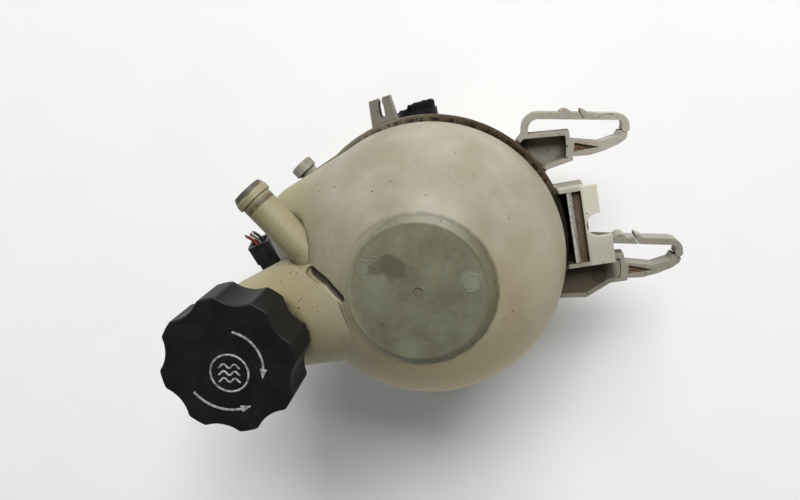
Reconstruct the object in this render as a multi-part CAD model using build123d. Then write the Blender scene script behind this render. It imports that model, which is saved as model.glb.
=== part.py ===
from build123d import *

import math
import os

# Coolant expansion tank of a car, in millimetres.
# The ball frame stands on the axis of the ball at the seam: +Z up through the filler cap,
# +X out through the mounting pocket. Every piece is moved from there to the pocket for export.

# Shells
WALL = 3.0
BALL_R = 71.5
FRONT_RISE = 16.0
REAR_DROP = 6.0
FLANGE_LIP = 2.5
FRONT_FLANGE_T = 3.2
REAR_FLANGE_T = 4.5
FLANGE_R = BALL_R + FLANGE_LIP

# Raised disc on top of the ball
DISC_R = 32.5
DISC_EDGE = 4.0
DISC_RISE = 2.8
GATE_MARK_R = 2.2
FOOT_R = DISC_R + DISC_EDGE
FOOT_Z = FRONT_RISE + math.sqrt(BALL_R**2 - FOOT_R**2)
DISC_Z = FOOT_Z + DISC_RISE

# Filler neck and the tunnel that leads to it
NECK_ANGLE = 190.0
NECK_STAND = 19.5
NECK_REACH = BALL_R + NECK_STAND
NECK_R = 24.0
NECK_BORE_R = 20.5
NECK_RISE = 16.5
NECK_TOP = FOOT_Z + NECK_RISE
COLLAR_LIP = 4.5
COLLAR_T = 2.5
TUNNEL_ROOT_R = 33.0
TUNNEL_SINK = 0.9
TUNNEL_FALL = 3.0
TUNNEL_ROOT_Z = FOOT_Z - TUNNEL_SINK - TUNNEL_ROOT_R
TUNNEL_END_R = NECK_R + 1.2
TUNNEL_END_Z = TUNNEL_ROOT_Z - TUNNEL_FALL
CUT_CLEAR = 1.0
CREASE_R = 2.6
CREASE_DEPTH = 1.6
CREASE_PATH = ((165.0, 42.0), (168.0, 51.5), (177.4, 59.0))

# Return hose spigot, the shoulder under it and the headed locating peg, all drawn by one side core
SIDE_PULL = 123.0
SPIGOT_OFFSET = 35.3
SPIGOT_STAND = 18.5
SPIGOT_REACH = BALL_R + SPIGOT_STAND
SPIGOT_Z = 52.0
SPIGOT_R = 8.2
SPIGOT_BORE_R = 6.0
SPIGOT_IN = 55.0
BARB_RISE = 1.1
BARB_LAND = 2.5
BARB_TAPER = 3.7
BARB_TIP_DROP = 0.35
BARB_BACK = 0.5
SPIGOT_CUT = BALL_R + 2 * CUT_CLEAR
SHOULDER_R = 24.0
SHOULDER_STAND = 8.3
SHOULDER_REACH = BALL_R + SHOULDER_STAND
SHOULDER_SINK = 0.4
PEG_OFFSET = 23.4
PEG_R = 6.6
PEG_HEAD = 5.4
PEG_NECK_R = 5.2
PEG_STAND = 8.7
PEG_NECK_REACH = BALL_R + PEG_STAND
PEG_ROUND = 1.4
PEG_BACK = 0.5
PEG_Z = -8.0

# Cap knob
CAP_HEIGHT = 25.0
CAP_TIP_R = 33.0
CAP_LOBES = 8
CAP_LOBE_TURN = 4.0
CAP_SCALLOP_R = 17.0
CAP_SCALLOP_DEPTH = 3.2
CAP_TIP_ROUND = 2.4
CAP_TOP_T = 3.0
CAP_EDGE_ROUND = 0.9
THREAD_ROOM = 1.9
CAP_GAP = 0.2

# Valve cartridge held in the cap, measured from the mouth of the neck
MOUTH_GAP = 0.1
CARTRIDGE_SEAT_T = 1.2
CARTRIDGE_RIM_T = 1.0
CARTRIDGE_RIM_R = NECK_R + 0.6
CARTRIDGE_GAP = 0.6
CARTRIDGE_R = NECK_BORE_R - CARTRIDGE_GAP
CARTRIDGE_DEPTH = 12.0
BEAD_R = NECK_BORE_R + 2.9
RING_WIRE_R = 1.35
RING_GAP = 0.1
RING_DEPTH = 6.1
GROOVE_ROOM = 0.15
CHAMBER_R = 13.5
CHAMBER_ROOF = 0.6
VENT_R = 0.8
VENT_DEPTH = 2.4
SEAT_PLATE_T = 2.0
SEAT_PLATE_LIP = 1.0
SEAT_PLATE_GAP = 0.1
INLET_R = 7.5
SEAL_T = 1.2
SEAL_LAND = 3.5
VALVE_T = 1.6
VALVE_GAP = 1.3
GUIDE_R = 3.4
GUIDE_RISE = 1.6
STEM_R = 1.5
STEM_GAP = 0.3
STEM_HEAD_R = 2.9
STEM_HEAD_T = 0.8
STEM_TOP = 2.1
VACUUM_HEAD_LIP = 1.3
VACUUM_HEAD_T = 1.0
VACUUM_GAP = 0.1
PRESSURE_WIRE_R = 0.6
PRESSURE_TURNS = 3.5
PRESSURE_COIL_R = 9.6
VACUUM_WIRE_R = 0.25
VACUUM_TURNS = 3.0
SPRING_SEAT = 0.05

# Mounting pocket for a bracket tongue
POCKET_GAP = 2.5
POCKET_WALL = 2.2
POCKET_SLOT = 5.0
POCKET_SPAN = 39.4
POCKET_LOW = -18.0
POCKET_HIGH = 4.0
POCKET_ROOF_IN = 3.0
POCKET_TAB_T = 2.4
POCKET_TAB_UP = 6.4
POCKET_TAB_LOW = 11.0
POCKET_NOTCH_R = 6.5
POCKET_NOTCH_WEB = 0.8
RIM_CLEAR = 0.3
POCKET_INNER = FLANGE_R + POCKET_GAP + POCKET_WALL
POCKET_X = POCKET_INNER + POCKET_SLOT / 2
POCKET_Z = (POCKET_LOW + POCKET_HIGH) / 2

# Hose clips
CLIP_TURN = -11.0
CLIP_Z = -9.0
CLIP_DEPTH = 11.0
STRAP_T = 3.6
LOOP_LENGTH = 54.2
LOOP_RISE = 7.9
LOOP_ROUND = 1.1 * LOOP_RISE
LOCK_REACH = 22.8
LOCK_SLANT = 2.6
LOCK_TOOTH = 1.9
LOCK_GAP = 0.25
BUMP_REACH = 31.6
BUMP_WIDTH = 6.4
KNUCKLE_R = 2.0
KNUCKLE_GAP = 0.3
ARM_ROOT = 26.0
ARM_TOP = 6.1
ARM_T = 9.3
ARM_WAIST = 13.3
ARM_SAG = 1.1
ARM_BAR = 2.1
HOOK_FOOT = 5.0
CLIP_SINK = 4.0
CLIP_RIM = 2.4
CLIP_WEB = 2.5
TRAY_TOP = 1.4
TRAY_LEAN = 3.2
UPPER_TRAY_TOP = 4.0
UPPER_TRAY_FOOT = 17.2
UPPER_TRAY_HEEL = 22.3
UPPER_TRAY_HEEL_IN = 12.8
UPPER_TRAY_ROOTS = (25.0, 43.0)
UPPER_CLIP_SINK = 7.0
UPPER_CLIP_REACH = FLANGE_R + LOOP_LENGTH - UPPER_CLIP_SINK
UPPER_CLIP_ANGLE = 22.9
LOWER_TRAY_FOOT = 16.4
LOWER_TRAY_BEND = 18.2
LOWER_TRAY_BEND_IN = 9.2
LOWER_TRAY_HEEL = 27.0
LOWER_TRAY_HEEL_IN = 21.4
LOWER_TRAY_ROOTS = (-36.0, -15.0)
LOWER_TRAY_RECESS = 1.0
PIN_MARK_R = 4.2
PIN_MARK_DEPTH = 0.4
PIN_MARK_IN = 15.4
PIN_MARK_DOWN = 14.6
LOWER_CLIP_STAND = 5.4
LOWER_CLIP_REACH = FLANGE_R + LOOP_LENGTH + LOWER_CLIP_STAND
LOWER_CLIP_ANGLE = -10.5

# Two-prong pipe clip on the seam flange
PRONG_X = -13.2
PRONG_RISE = 14.5
PRONG_LEFT_W = 5.2
PRONG_RIGHT_W = 4.2
PRONG_GAP = 2.8
PRONG_NUB = 0.5
PRONG_DEPTH = 8.0
PRONG_MOUTH = 5.0

# Outlet spigot, hose stub and clamp
OUTLET_Z = -50.0
OUTLET_R = 7.0
OUTLET_BORE_R = 5.0
OUTLET_ROOT_LIP = 3.0
OUTLET_ROOT = 0.8
OUTLET_LENGTH = 10.0
HOSE_WALL = 4.0
HOSE_GAP = 0.05
HOSE_OVERHANG = 2.8
HOSE_CUT = 8.0
CLAMP_T = 0.9
CLAMP_WIDTH = 7.0
CLAMP_FROM_ROOT = 2.5
CLAMP_EAR = 3.4
CLAMP_EAR_W = 6.0
CLAMP_EAR_ANGLE = 150.0

# Level sensor, its plug and the cut wires
SENSOR_Z = -24.0
BOSS_R = 13.0
BOSS_RISE = 7.0
SENSOR_BORE_R = 9.2
SENSOR_GAP = 0.2
PROBE_IN = 16.0
SENSOR_RING_R = 1.1
SENSOR_RING_IN = 5.0
SENSOR_LIP = 2.5
SENSOR_HEAD = 21.8
ELECTRODE_R = 1.2
ELECTRODE_OUT = 20.0
ELECTRODE_IN = 4.0
ELECTRODE_SPREAD = 8.0
PLUG_ANGLE = 104.0
PLUG_TILT = 14.0
SHROUD_BACK = 9.0
SHROUD_FRONT = 6.0
SENSOR_HEAD_R = SHROUD_FRONT - 0.5
SHROUD_WIDTH = 12.8
SHROUD_HEIGHT = 12.0
SHROUD_WALL = 1.3
SHROUD_FLOOR = 3.0
PLUG_GAP = 0.2
PLUG_LENGTH = 12.0
PLUG_LIP = 0.6
PLUG_ROUND = 1.5
WIRE_ROOM_W = 10.0
WIRE_ROOM_H = 8.0
WIRE_ROOM_DEPTH = 5.0
LATCH_W = 6.0
LATCH_T = 1.6
LATCH_LENGTH = 9.0
WIRE_R = 0.9
WIRE_LENGTH = 11.5
WIRE_STEP = 2.6

UP = (Align.CENTER, Align.CENTER, Align.MIN)
DOWN = (Align.CENTER, Align.CENTER, Align.MAX)


def polar(reach, angle):
    turn = math.radians(angle)
    return reach * math.cos(turn), reach * math.sin(turn)


def ball_half_width(radius, height):
    """Half width of a ball at a height above or below its centre."""
    return math.sqrt(radius**2 - height**2)


def turned(edges):
    """Solid turned about Z from a closed outline of (radius, height) edges."""
    return revolve(Plane.XZ * make_face(edges), Axis.Z)


def turned_outline(*points):
    return turned(Polyline(*points, close=True).edges())


def tube(outer, inner, low, high):
    return Pos(0, 0, low) * (
        Cylinder(outer, high - low, align=UP) - Cylinder(inner, high - low, align=UP)
    )


def plate(points, low, high):
    """Flat plate with an outline in X and Y, between two heights."""
    face = make_face(Polyline(*points, close=True).edges())
    return Pos(0, 0, low) * extrude(face, high - low)


# Upper shell: dome, raised disc, tunnel, neck and return spigot

def ball_arc(radius, centre, first, last):
    """Arc of a ball's outline between two heights."""
    middle = (first + last) / 2
    ends = [(ball_half_width(radius, z - centre), z) for z in (first, middle, last)]
    return ThreePointArc(*ends)


def front_dome():
    side = ball_arc(BALL_R, FRONT_RISE, FRONT_FLANGE_T, FOOT_Z)
    rim = [(0, DISC_Z), (0, 0), (FLANGE_R, 0), (FLANGE_R, FRONT_FLANGE_T), side @ 0]
    top = [side @ 1, (DISC_R, DISC_Z), (0, DISC_Z)]
    face = make_face(Polyline(*rim).edges() + side.edges() + Polyline(*top).edges())
    edge = [v for v in face.vertices() if abs(v.X - DISC_R) < 0.01]
    face = fillet(edge, DISC_RISE / 2)
    return revolve(Plane.XZ * face, Axis.Z)


def front_room():
    radius = BALL_R - WALL
    roof = DISC_Z - WALL
    side = ball_arc(radius, FRONT_RISE, 0, roof)
    rest = Polyline(side @ 1, (0, roof), (0, 0), side @ 0)
    return turned(side.edges() + rest.edges())


def tunnel(skin):
    """Tapered tunnel from the ball to the foot of the neck, drawn in by a skin."""
    root = TUNNEL_ROOT_R - skin
    end = TUNNEL_END_R - skin
    run = NECK_REACH - FOOT_R
    length = math.hypot(run, TUNNEL_FALL)
    lean = math.asin((root - end) / length)
    touch = (length + end * math.sin(lean), end * math.cos(lean))
    nose = (length + end * math.cos(math.pi / 5), end * math.sin(math.pi / 5))
    side = Polyline((length + end, 0), (0, 0), (0, root / math.cos(lean)), touch)
    cap = ThreePointArc(touch, nose, (length + end, 0))
    body = revolve(make_face(side.edges() + cap.edges()), Axis.X)
    slope = math.degrees(math.atan2(TUNNEL_FALL, run))
    place = Rot(0, 0, NECK_ANGLE) * Pos(FOOT_R, 0, TUNNEL_ROOT_Z)
    return place * Rot(0, slope, 0) * body


def neck_place():
    return Pos(*polar(NECK_REACH, NECK_ANGLE), NECK_TOP)


def cap_bottom():
    """Height of the cap's lower edge above the mouth of the neck."""
    roof = MOUTH_GAP + CARTRIDGE_SEAT_T + CARTRIDGE_RIM_T + CAP_GAP
    return roof + CAP_TOP_T - CAP_HEIGHT


def neck():
    collar_top = cap_bottom() - 1.0
    pipe = Cylinder(NECK_R, NECK_TOP - TUNNEL_END_Z, align=DOWN)
    collar = Pos(0, 0, collar_top) * Cylinder(NECK_R + COLLAR_LIP, COLLAR_T, align=DOWN)
    cone = Pos(0, 0, collar_top - COLLAR_T) * Cone(
        NECK_R, NECK_R + COLLAR_LIP, COLLAR_LIP, align=DOWN
    )
    return neck_place() * (pipe + collar + cone)


def spigot_place():
    """Frame on the spigot's end with Z along its axis, out of the tank."""
    along = polar(SPIGOT_REACH, SIDE_PULL)
    aside = polar(SPIGOT_OFFSET, SIDE_PULL + 90)
    end = Pos(along[0] + aside[0], along[1] + aside[1], SPIGOT_Z)
    return end * Rot(0, 0, SIDE_PULL) * Rot(0, 90, 0)


def spigot():
    barb_r = SPIGOT_R + BARB_RISE
    barb = BARB_TAPER + BARB_LAND
    body = turned_outline(
        (0, 0), (SPIGOT_R - BARB_TIP_DROP, 0), (barb_r, -BARB_TAPER), (barb_r, -barb),
        (SPIGOT_R, -barb - BARB_BACK), (SPIGOT_R, -SPIGOT_IN), (0, -SPIGOT_IN),
    )
    return spigot_place() * body


def spigot_bore():
    return spigot_place() * Pos(0, 0, 1) * Cylinder(SPIGOT_BORE_R, SPIGOT_IN + 1, align=DOWN)


def shoulder(skin):
    """Smooth bulge that carries the ball's wall out under the spigot, drawn in by a skin."""
    root = BALL_R - SHOULDER_SINK - skin
    end = SHOULDER_R - skin
    along = SHOULDER_REACH - SHOULDER_R
    length = math.hypot(along, SPIGOT_OFFSET)
    lean = math.asin((root - end) / length)
    half = (math.pi / 2 - lean) / 2
    start = (root * math.sin(lean), root * math.cos(lean))
    touch = (length + end * math.sin(lean), end * math.cos(lean))
    nose = (length + end * math.cos(half), end * math.sin(half))
    side = Polyline((length + end, 0), (start[0], 0), start, touch)
    cap = ThreePointArc(touch, nose, (length + end, 0))
    body = revolve(make_face(side.edges() + cap.edges()), Axis.X)
    turn = SIDE_PULL + math.degrees(math.atan2(SPIGOT_OFFSET, along))
    return Pos(0, 0, FRONT_RISE) * Rot(0, 0, turn) * body


def slab(low, high):
    return Pos(0, 0, low) * Cylinder(4 * BALL_R, high - low, align=UP)


def shoulder_flange(low, high):
    """Seam flange carried round the foot of the shoulder."""
    return shoulder(-FLANGE_LIP) & slab(low, high)


def crease():
    """Groove in the valley between the tunnel and the dome."""
    reach = BALL_R + CREASE_R - CREASE_DEPTH
    spots = []
    for angle, rise in CREASE_PATH:
        lift = math.radians(rise)
        x, y = polar(reach * math.cos(lift), angle)
        spots.append(Vector(x, y, FRONT_RISE + reach * math.sin(lift)))
    groove = Pos(*spots[0]) * Sphere(CREASE_R)
    for first, last in zip(spots, spots[1:]):
        run = Plane(origin=first, z_dir=last - first)
        groove += run * Cylinder(CREASE_R, (last - first).length, align=UP)
        groove += Pos(*last) * Sphere(CREASE_R)
    return groove


def gate_mark():
    return Pos(0, 0, DISC_Z - 0.6) * Cylinder(GATE_MARK_R, 2, align=UP)


def upper_moulding():
    """The whole upper half, before it is cut into the dome, tunnel, neck and spigot."""
    skin = front_dome() + (shoulder(0) & slab(0, 2 * BALL_R)) + shoulder_flange(0, FRONT_FLANGE_T)
    skin = skin + tunnel(0) + neck() + spigot()
    room = front_room() + (shoulder(WALL) & slab(FRONT_FLANGE_T, 2 * BALL_R)) + tunnel(WALL)
    room += neck_place() * Pos(0, 0, 1) * Cylinder(
        NECK_BORE_R, NECK_TOP - TUNNEL_END_Z + 1, align=DOWN
    )
    return skin - room - spigot_bore() - gate_mark() - crease()


def tunnel_part():
    """Block that holds the tunnel and the neck, out from the foot of the disc."""
    far = NECK_REACH + TUNNEL_ROOT_R
    half = TUNNEL_ROOT_R + CUT_CLEAR
    room = block((FOOT_R + CUT_CLEAR, far), (-half, half), (TUNNEL_END_Z - TUNNEL_ROOT_R, 2 * NECK_TOP))
    return Rot(0, 0, NECK_ANGLE) * room


def neck_part():
    """Block that holds the neck's pipe from just inside the cap's skirt upward."""
    radius = TUNNEL_END_R + COLLAR_LIP
    return neck_place() * Pos(0, 0, cap_bottom() + CUT_CLEAR) * Cylinder(radius, NECK_TOP, align=UP)


def spigot_part():
    """Block that holds the spigot's end, out from the shoulder."""
    low = SPIGOT_CUT - SPIGOT_REACH
    return spigot_place() * Pos(0, 0, low) * Cylinder(2 * SPIGOT_R, SPIGOT_REACH, align=UP)


def upper_pieces():
    whole = upper_moulding()
    return {
        "upper_shell": whole - tunnel_part() - spigot_part(),
        "filler_tunnel": (whole & tunnel_part()) - neck_part(),
        "filler_neck": whole & neck_part(),
        "return_spigot": whole & spigot_part(),
    }


# Lower shell: bowl, mounting pocket, clips, peg, outlet and sensor port

def rear_bowl():
    pole = -REAR_DROP - BALL_R
    side = ball_arc(BALL_R, -REAR_DROP, -REAR_FLANGE_T, pole)
    rim = [side @ 1, (0, 0), (FLANGE_R, 0), (FLANGE_R, -REAR_FLANGE_T), side @ 0]
    return turned(side.edges() + Polyline(*rim).edges())


def rear_room():
    radius = BALL_R - WALL
    side = ball_arc(radius, -REAR_DROP, 0, -REAR_DROP - radius)
    return turned(side.edges() + Polyline(side @ 1, (0, 0), side @ 0).edges())


def block(x, y, z):
    """Box between two limits on each axis."""
    middle = Pos((x[0] + x[1]) / 2, (y[0] + y[1]) / 2, (z[0] + z[1]) / 2)
    return middle * Box(x[1] - x[0], y[1] - y[0], z[1] - z[0])


def pocket():
    """Sleeve for a bracket tongue, with a floor behind it and two notched tabs on its outer wall."""
    root = BALL_R - 4 * WALL
    inner = POCKET_INNER - POCKET_WALL
    outer = POCKET_INNER + POCKET_SLOT
    face = outer + POCKET_WALL
    half = POCKET_SPAN / 2
    tall = (POCKET_LOW, POCKET_HIGH)
    tab = (POCKET_HIGH - POCKET_TAB_T, POCKET_HIGH)
    sleeve = block((root, face), (half, half + POCKET_WALL), tall)
    sleeve += block((root, face), (-half - POCKET_WALL, -half), tall)
    sleeve += block((inner, POCKET_INNER), (-half, half), tall)
    sleeve += block((root, inner), (-half, half), (POCKET_LOW, POCKET_LOW + POCKET_WALL))
    sleeve += block((outer, face), (-half, half), tall)
    sleeve += block((face, face + POCKET_TAB_UP), (0, half + POCKET_WALL), tab)
    sleeve += block((face, face + POCKET_TAB_LOW), (-half - POCKET_WALL, 0), tab)
    notch = Pos(outer + POCKET_NOTCH_WEB + POCKET_NOTCH_R, 0, POCKET_HIGH + 1)
    sleeve -= notch * Cylinder(POCKET_NOTCH_R, 3 * POCKET_TAB_T + 1, align=DOWN)
    ends = (POCKET_NOTCH_R, POCKET_TAB_LOW + 1)
    sleeve -= block(
        (face + ends[0], face + ends[1]), (-POCKET_NOTCH_R, POCKET_NOTCH_R),
        (POCKET_LOW, POCKET_HIGH + 1),
    )
    return sleeve


def pocket_slot():
    half = POCKET_SPAN / 2
    return block(
        (POCKET_INNER, POCKET_INNER + POCKET_SLOT), (-half, half),
        (POCKET_LOW - 1, POCKET_HIGH + 1),
    )


def pocket_roof():
    """Roof of the pocket, a little below its rim, that rests on the bracket tongue."""
    half = POCKET_SPAN / 2
    top = POCKET_HIGH - POCKET_ROOF_IN
    return block((POCKET_INNER, POCKET_INNER + POCKET_SLOT), (-half, half), (top - POCKET_WALL, top))


def clip_place(reach, angle):
    """Frame of a clip on its hinge, with X along the loop."""
    return Pos(*polar(reach, angle), 0) * Rot(0, 0, CLIP_TURN)


def clip_plate(points):
    half = CLIP_DEPTH / 2
    return plate(points, CLIP_Z - half, CLIP_Z + half)


def rounded(solid, x, y, radius):
    """Round the upright edge of a plate at one corner of its outline."""
    edge = solid.edges().filter_by(Axis.Z).sort_by_distance((x, y, CLIP_Z))[0]
    return fillet(edge, radius)


def lock_end():
    """End of a fixed jaw at the slanted lock, from top to bottom."""
    lock = -LOCK_REACH - LOCK_GAP
    return [(lock - LOCK_SLANT / 2, LOOP_RISE), (lock + LOCK_SLANT / 2, LOOP_RISE - STRAP_T)]


def lock_bump():
    half = BUMP_WIDTH / 2
    first = (-BUMP_REACH - half, LOOP_RISE)
    last = (-BUMP_REACH + half, LOOP_RISE)
    arc = ThreePointArc(first, (-BUMP_REACH, LOOP_RISE + LOCK_TOOTH), last)
    keel = Polyline(last, (-BUMP_REACH, LOOP_RISE - STRAP_T), first)
    bump = extrude(make_face(arc.edges() + keel.edges()), CLIP_DEPTH)
    return Pos(0, 0, CLIP_Z - CLIP_DEPTH / 2) * bump


def straight_jaw(left):
    """Fixed upper jaw that runs straight out of a wall."""
    jaw = clip_plate([(left, LOOP_RISE), *lock_end(), (left, LOOP_RISE - STRAP_T)])
    return jaw + lock_bump()


def hooked_jaw(left, foot):
    """Fixed upper jaw that rises on a leg and bends over to the lock."""
    low = LOOP_RISE - STRAP_T
    inside = left + STRAP_T
    jaw = clip_plate([
        (left, foot), (left, LOOP_RISE), *lock_end(), (inside, low), (inside, foot),
    ])
    jaw = rounded(jaw, left, LOOP_RISE, LOOP_ROUND)
    return rounded(jaw, inside, low, LOOP_ROUND - STRAP_T) + lock_bump()


def clip_arm():
    """Fixed lower arm with the round seat of the hinge and a slim blind triangular recess."""
    seat = KNUCKLE_R + KNUCKLE_GAP
    root = -ARM_ROOT - CLIP_SINK
    low = -ARM_TOP - ARM_T
    arm = clip_plate([
        (root, -ARM_TOP), (-ARM_WAIST, -ARM_TOP - ARM_SAG), (-2.0 * seat, -1.7 * seat),
        (-1.4 * seat, -0.5 * seat), (0.2 * seat, -0.5 * seat), (0.5 * seat, -1.4 * seat),
        (0.2 * seat, -2.35 * seat), (-1.4 * seat, -3.6 * seat),
        (-0.78 * ARM_WAIST, -ARM_TOP - 0.61 * ARM_T), (-0.7 * ARM_ROOT, -ARM_TOP - 0.89 * ARM_T),
        (root, low),
    ])
    recess = plate(
        [(-ARM_ROOT, -ARM_TOP - 0.8 * ARM_BAR), (-0.5 * ARM_ROOT, -ARM_TOP - 0.4 * ARM_T),
         (-ARM_ROOT, low + 1.3 * ARM_BAR)],
        CLIP_Z - CLIP_DEPTH / 2 + CLIP_WEB, CLIP_Z + CLIP_DEPTH,
    )
    return arm - recess - Pos(0, 0, CLIP_Z) * Cylinder(seat, 2 * CLIP_DEPTH)


def clip_strap(place):
    """Moving strap from the lock tooth round to the hinge knuckle."""
    low = LOOP_RISE - STRAP_T
    lock = -LOCK_REACH + LOCK_GAP
    half = STRAP_T / 2
    tip = lock - LOCK_SLANT / 2
    strap = clip_plate([
        (tip, LOOP_RISE), (tip, LOOP_RISE + LOCK_TOOTH),
        (tip + STRAP_T / 3, LOOP_RISE + LOCK_TOOTH), (tip + 1.25 * STRAP_T, LOOP_RISE),
        (half, LOOP_RISE), (half, 0), (-half, 0), (-half, low), (lock + LOCK_SLANT / 2, low),
    ])
    strap = rounded(strap, half, LOOP_RISE, LOOP_ROUND - STRAP_T / 2)
    strap = rounded(strap, -half, low, (LOOP_ROUND - STRAP_T) / 2)
    return place * (strap + Pos(0, 0, CLIP_Z) * Cylinder(KNUCKLE_R, CLIP_DEPTH))


def clip_tray(place, corners, roots, recess):
    """Bracket plate with a raised rim, from the tank wall to a clip."""
    spots = [(place * Pos(x, y, 0)).position for x, y in corners]
    wall = [polar(BALL_R - 2 * WALL, angle) for angle in roots]
    face = make_face(Polyline(*[(p.X, p.Y) for p in spots], *wall, close=True).edges())
    top = CLIP_Z + CLIP_DEPTH / 2
    tray = Pos(0, 0, top) * extrude(face, -CLIP_DEPTH)
    return tray - Pos(0, 0, top) * extrude(offset(face, -CLIP_RIM), -recess)


def upper_clip():
    place = clip_place(UPPER_CLIP_REACH, UPPER_CLIP_ANGLE)
    corners = [
        (-LOOP_LENGTH, -UPPER_TRAY_TOP), (-ARM_ROOT - TRAY_LEAN, -TRAY_TOP),
        (-ARM_ROOT, -UPPER_TRAY_FOOT), (-ARM_ROOT - UPPER_TRAY_HEEL_IN, -UPPER_TRAY_HEEL),
    ]
    tray = clip_tray(place, corners, UPPER_TRAY_ROOTS, CLIP_DEPTH - CLIP_WEB)
    return tray + place * (hooked_jaw(-LOOP_LENGTH, -HOOK_FOOT) + clip_arm())


def lower_clip():
    place = clip_place(LOWER_CLIP_REACH, LOWER_CLIP_ANGLE)
    corners = [
        (-ARM_ROOT - TRAY_LEAN, -TRAY_TOP), (-ARM_ROOT, -LOWER_TRAY_FOOT),
        (-ARM_ROOT - LOWER_TRAY_BEND_IN, -LOWER_TRAY_BEND),
        (-ARM_ROOT - LOWER_TRAY_HEEL_IN, -LOWER_TRAY_HEEL),
    ]
    tray = clip_tray(place, corners, LOWER_TRAY_ROOTS, LOWER_TRAY_RECESS)
    floor = CLIP_Z + CLIP_DEPTH / 2 - LOWER_TRAY_RECESS
    mark = Pos(-ARM_ROOT - PIN_MARK_IN, -PIN_MARK_DOWN, floor - PIN_MARK_DEPTH)
    tray -= place * mark * Cylinder(PIN_MARK_R, CLIP_DEPTH, align=UP)
    return tray + place * (straight_jaw(-LOOP_LENGTH + STRAP_T) + clip_arm())


def pipe_clip():
    """Two prongs on the seam flange with a keyhole gap between them."""
    foot = ball_half_width(FLANGE_R, PRONG_X)
    top = foot + PRONG_RISE
    half = PRONG_GAP / 2
    left = PRONG_X - half - PRONG_LEFT_W
    right = PRONG_X + half + PRONG_RIGHT_W
    root = BALL_R - 2 * WALL
    body = plate(
        [(left + 0.4, top - 1.6), (left - 0.6, root), (right + 2.6, root), (right - 0.2, top)],
        -PRONG_DEPTH, 0,
    )
    floor = foot + PRONG_RISE / 3
    gap = plate(
        [(PRONG_X - half, floor), (PRONG_X - half, top - PRONG_MOUTH),
         (PRONG_X - half + PRONG_NUB, top - PRONG_MOUTH / 2),
         (PRONG_X - half - 0.6, top + 1), (PRONG_X + half + 0.6, top + 1),
         (PRONG_X + half - PRONG_NUB, top - PRONG_MOUTH / 2), (PRONG_X + half, top - PRONG_MOUTH),
         (PRONG_X + half, floor)],
        -PRONG_DEPTH - 1, 1,
    )
    gap += Pos(PRONG_X, floor, 1) * Cylinder(half, PRONG_DEPTH + 2, align=DOWN)
    return body - gap


def peg_place():
    """Frame under the peg's head with Z along its axis, out of the tank."""
    along = polar(PEG_NECK_REACH, SIDE_PULL)
    aside = polar(PEG_OFFSET, SIDE_PULL + 90)
    return Pos(along[0] + aside[0], along[1] + aside[1], PEG_Z) * Rot(0, 0, SIDE_PULL) * Rot(0, 90, 0)


def peg():
    neck_pin = Cylinder(PEG_NECK_R, PEG_NECK_REACH - BALL_R + 6 * WALL, align=DOWN)
    head = Cylinder(PEG_R, PEG_HEAD, align=UP)
    head = fillet(head.edges().filter_by(GeomType.CIRCLE).sort_by(Axis.Z)[-1], PEG_ROUND)
    under = Cone(PEG_NECK_R, PEG_R, PEG_BACK, align=DOWN)
    return peg_place() * (neck_pin + under + head)


def outlet_place():
    """Frame on the face of the outlet's root with Z along its axis, out of the tank."""
    over_hose = OUTLET_Z + OUTLET_R + HOSE_WALL + 2 * CLAMP_T
    wall = ball_half_width(BALL_R, over_hose + REAR_DROP)
    return Pos(0, wall + OUTLET_ROOT, OUTLET_Z) * Rot(-90, 0, 0)


def outlet():
    root = Cylinder(OUTLET_R + OUTLET_ROOT_LIP, OUTLET_ROOT + 7 * WALL, align=DOWN)
    return outlet_place() * (root + Cylinder(OUTLET_R, OUTLET_LENGTH, align=UP))


def outlet_bore():
    drill = Cylinder(OUTLET_BORE_R, OUTLET_LENGTH + OUTLET_ROOT + 9 * WALL, align=UP)
    return outlet_place() * Pos(0, 0, -OUTLET_ROOT - 8 * WALL) * drill


def sensor_place():
    """Frame on the face of the sensor port with Z along its axis, out of the tank."""
    wall = ball_half_width(BALL_R, SENSOR_Z + REAR_DROP)
    return Pos(-wall - BOSS_RISE, 0, SENSOR_Z) * Rot(0, -90, 0)


def sensor_port():
    return sensor_place() * Cylinder(BOSS_R, BOSS_RISE + 4 * WALL, align=DOWN)


def sensor_bore():
    return sensor_place() * Pos(0, 0, 1) * Cylinder(SENSOR_BORE_R, BOSS_RISE + 6 * WALL, align=DOWN)


def lower_shell():
    skin = rear_bowl() + shoulder_flange(-REAR_FLANGE_T, 0) + pocket() + upper_clip() + lower_clip()
    skin = skin + pipe_clip() + peg() + outlet() + sensor_port()
    above = Cylinder(FLANGE_R + RIM_CLEAR, POCKET_HIGH + 2, align=UP)
    skin = skin - above - rear_room() - pocket_slot() - outlet_bore() - sensor_bore()
    return skin + pocket_roof()


# Outlet hose stub and its clamp

def outlet_hose_stub():
    inner = OUTLET_R + HOSE_GAP
    outer = inner + HOSE_WALL
    length = OUTLET_LENGTH + HOSE_OVERHANG
    hose = tube(outer, inner, 0, length + 2 * outer)
    knife = Pos(0, 0, length) * Rot(0, -HOSE_CUT, 0) * Cylinder(4 * outer, 6 * outer, align=UP)
    return outlet_place() * (hose - knife)


def outlet_hose_clamp():
    inner = OUTLET_R + HOSE_WALL + 2 * HOSE_GAP
    band = tube(inner + CLAMP_T, inner, 0, CLAMP_WIDTH)
    ear = block(
        (inner + CLAMP_T / 2, inner + CLAMP_EAR), (-CLAMP_EAR_W / 2, CLAMP_EAR_W / 2),
        (0, CLAMP_WIDTH),
    )
    hollow = block(
        (inner - 1, inner + CLAMP_EAR - CLAMP_T),
        (-CLAMP_EAR_W / 2 + CLAMP_T, CLAMP_EAR_W / 2 - CLAMP_T), (-1, CLAMP_WIDTH + 1),
    )
    ring = band + Rot(0, 0, CLAMP_EAR_ANGLE) * (ear - hollow)
    return outlet_place() * Pos(0, 0, CLAMP_FROM_ROOT) * ring


# Level sensor, plug and wires

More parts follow.
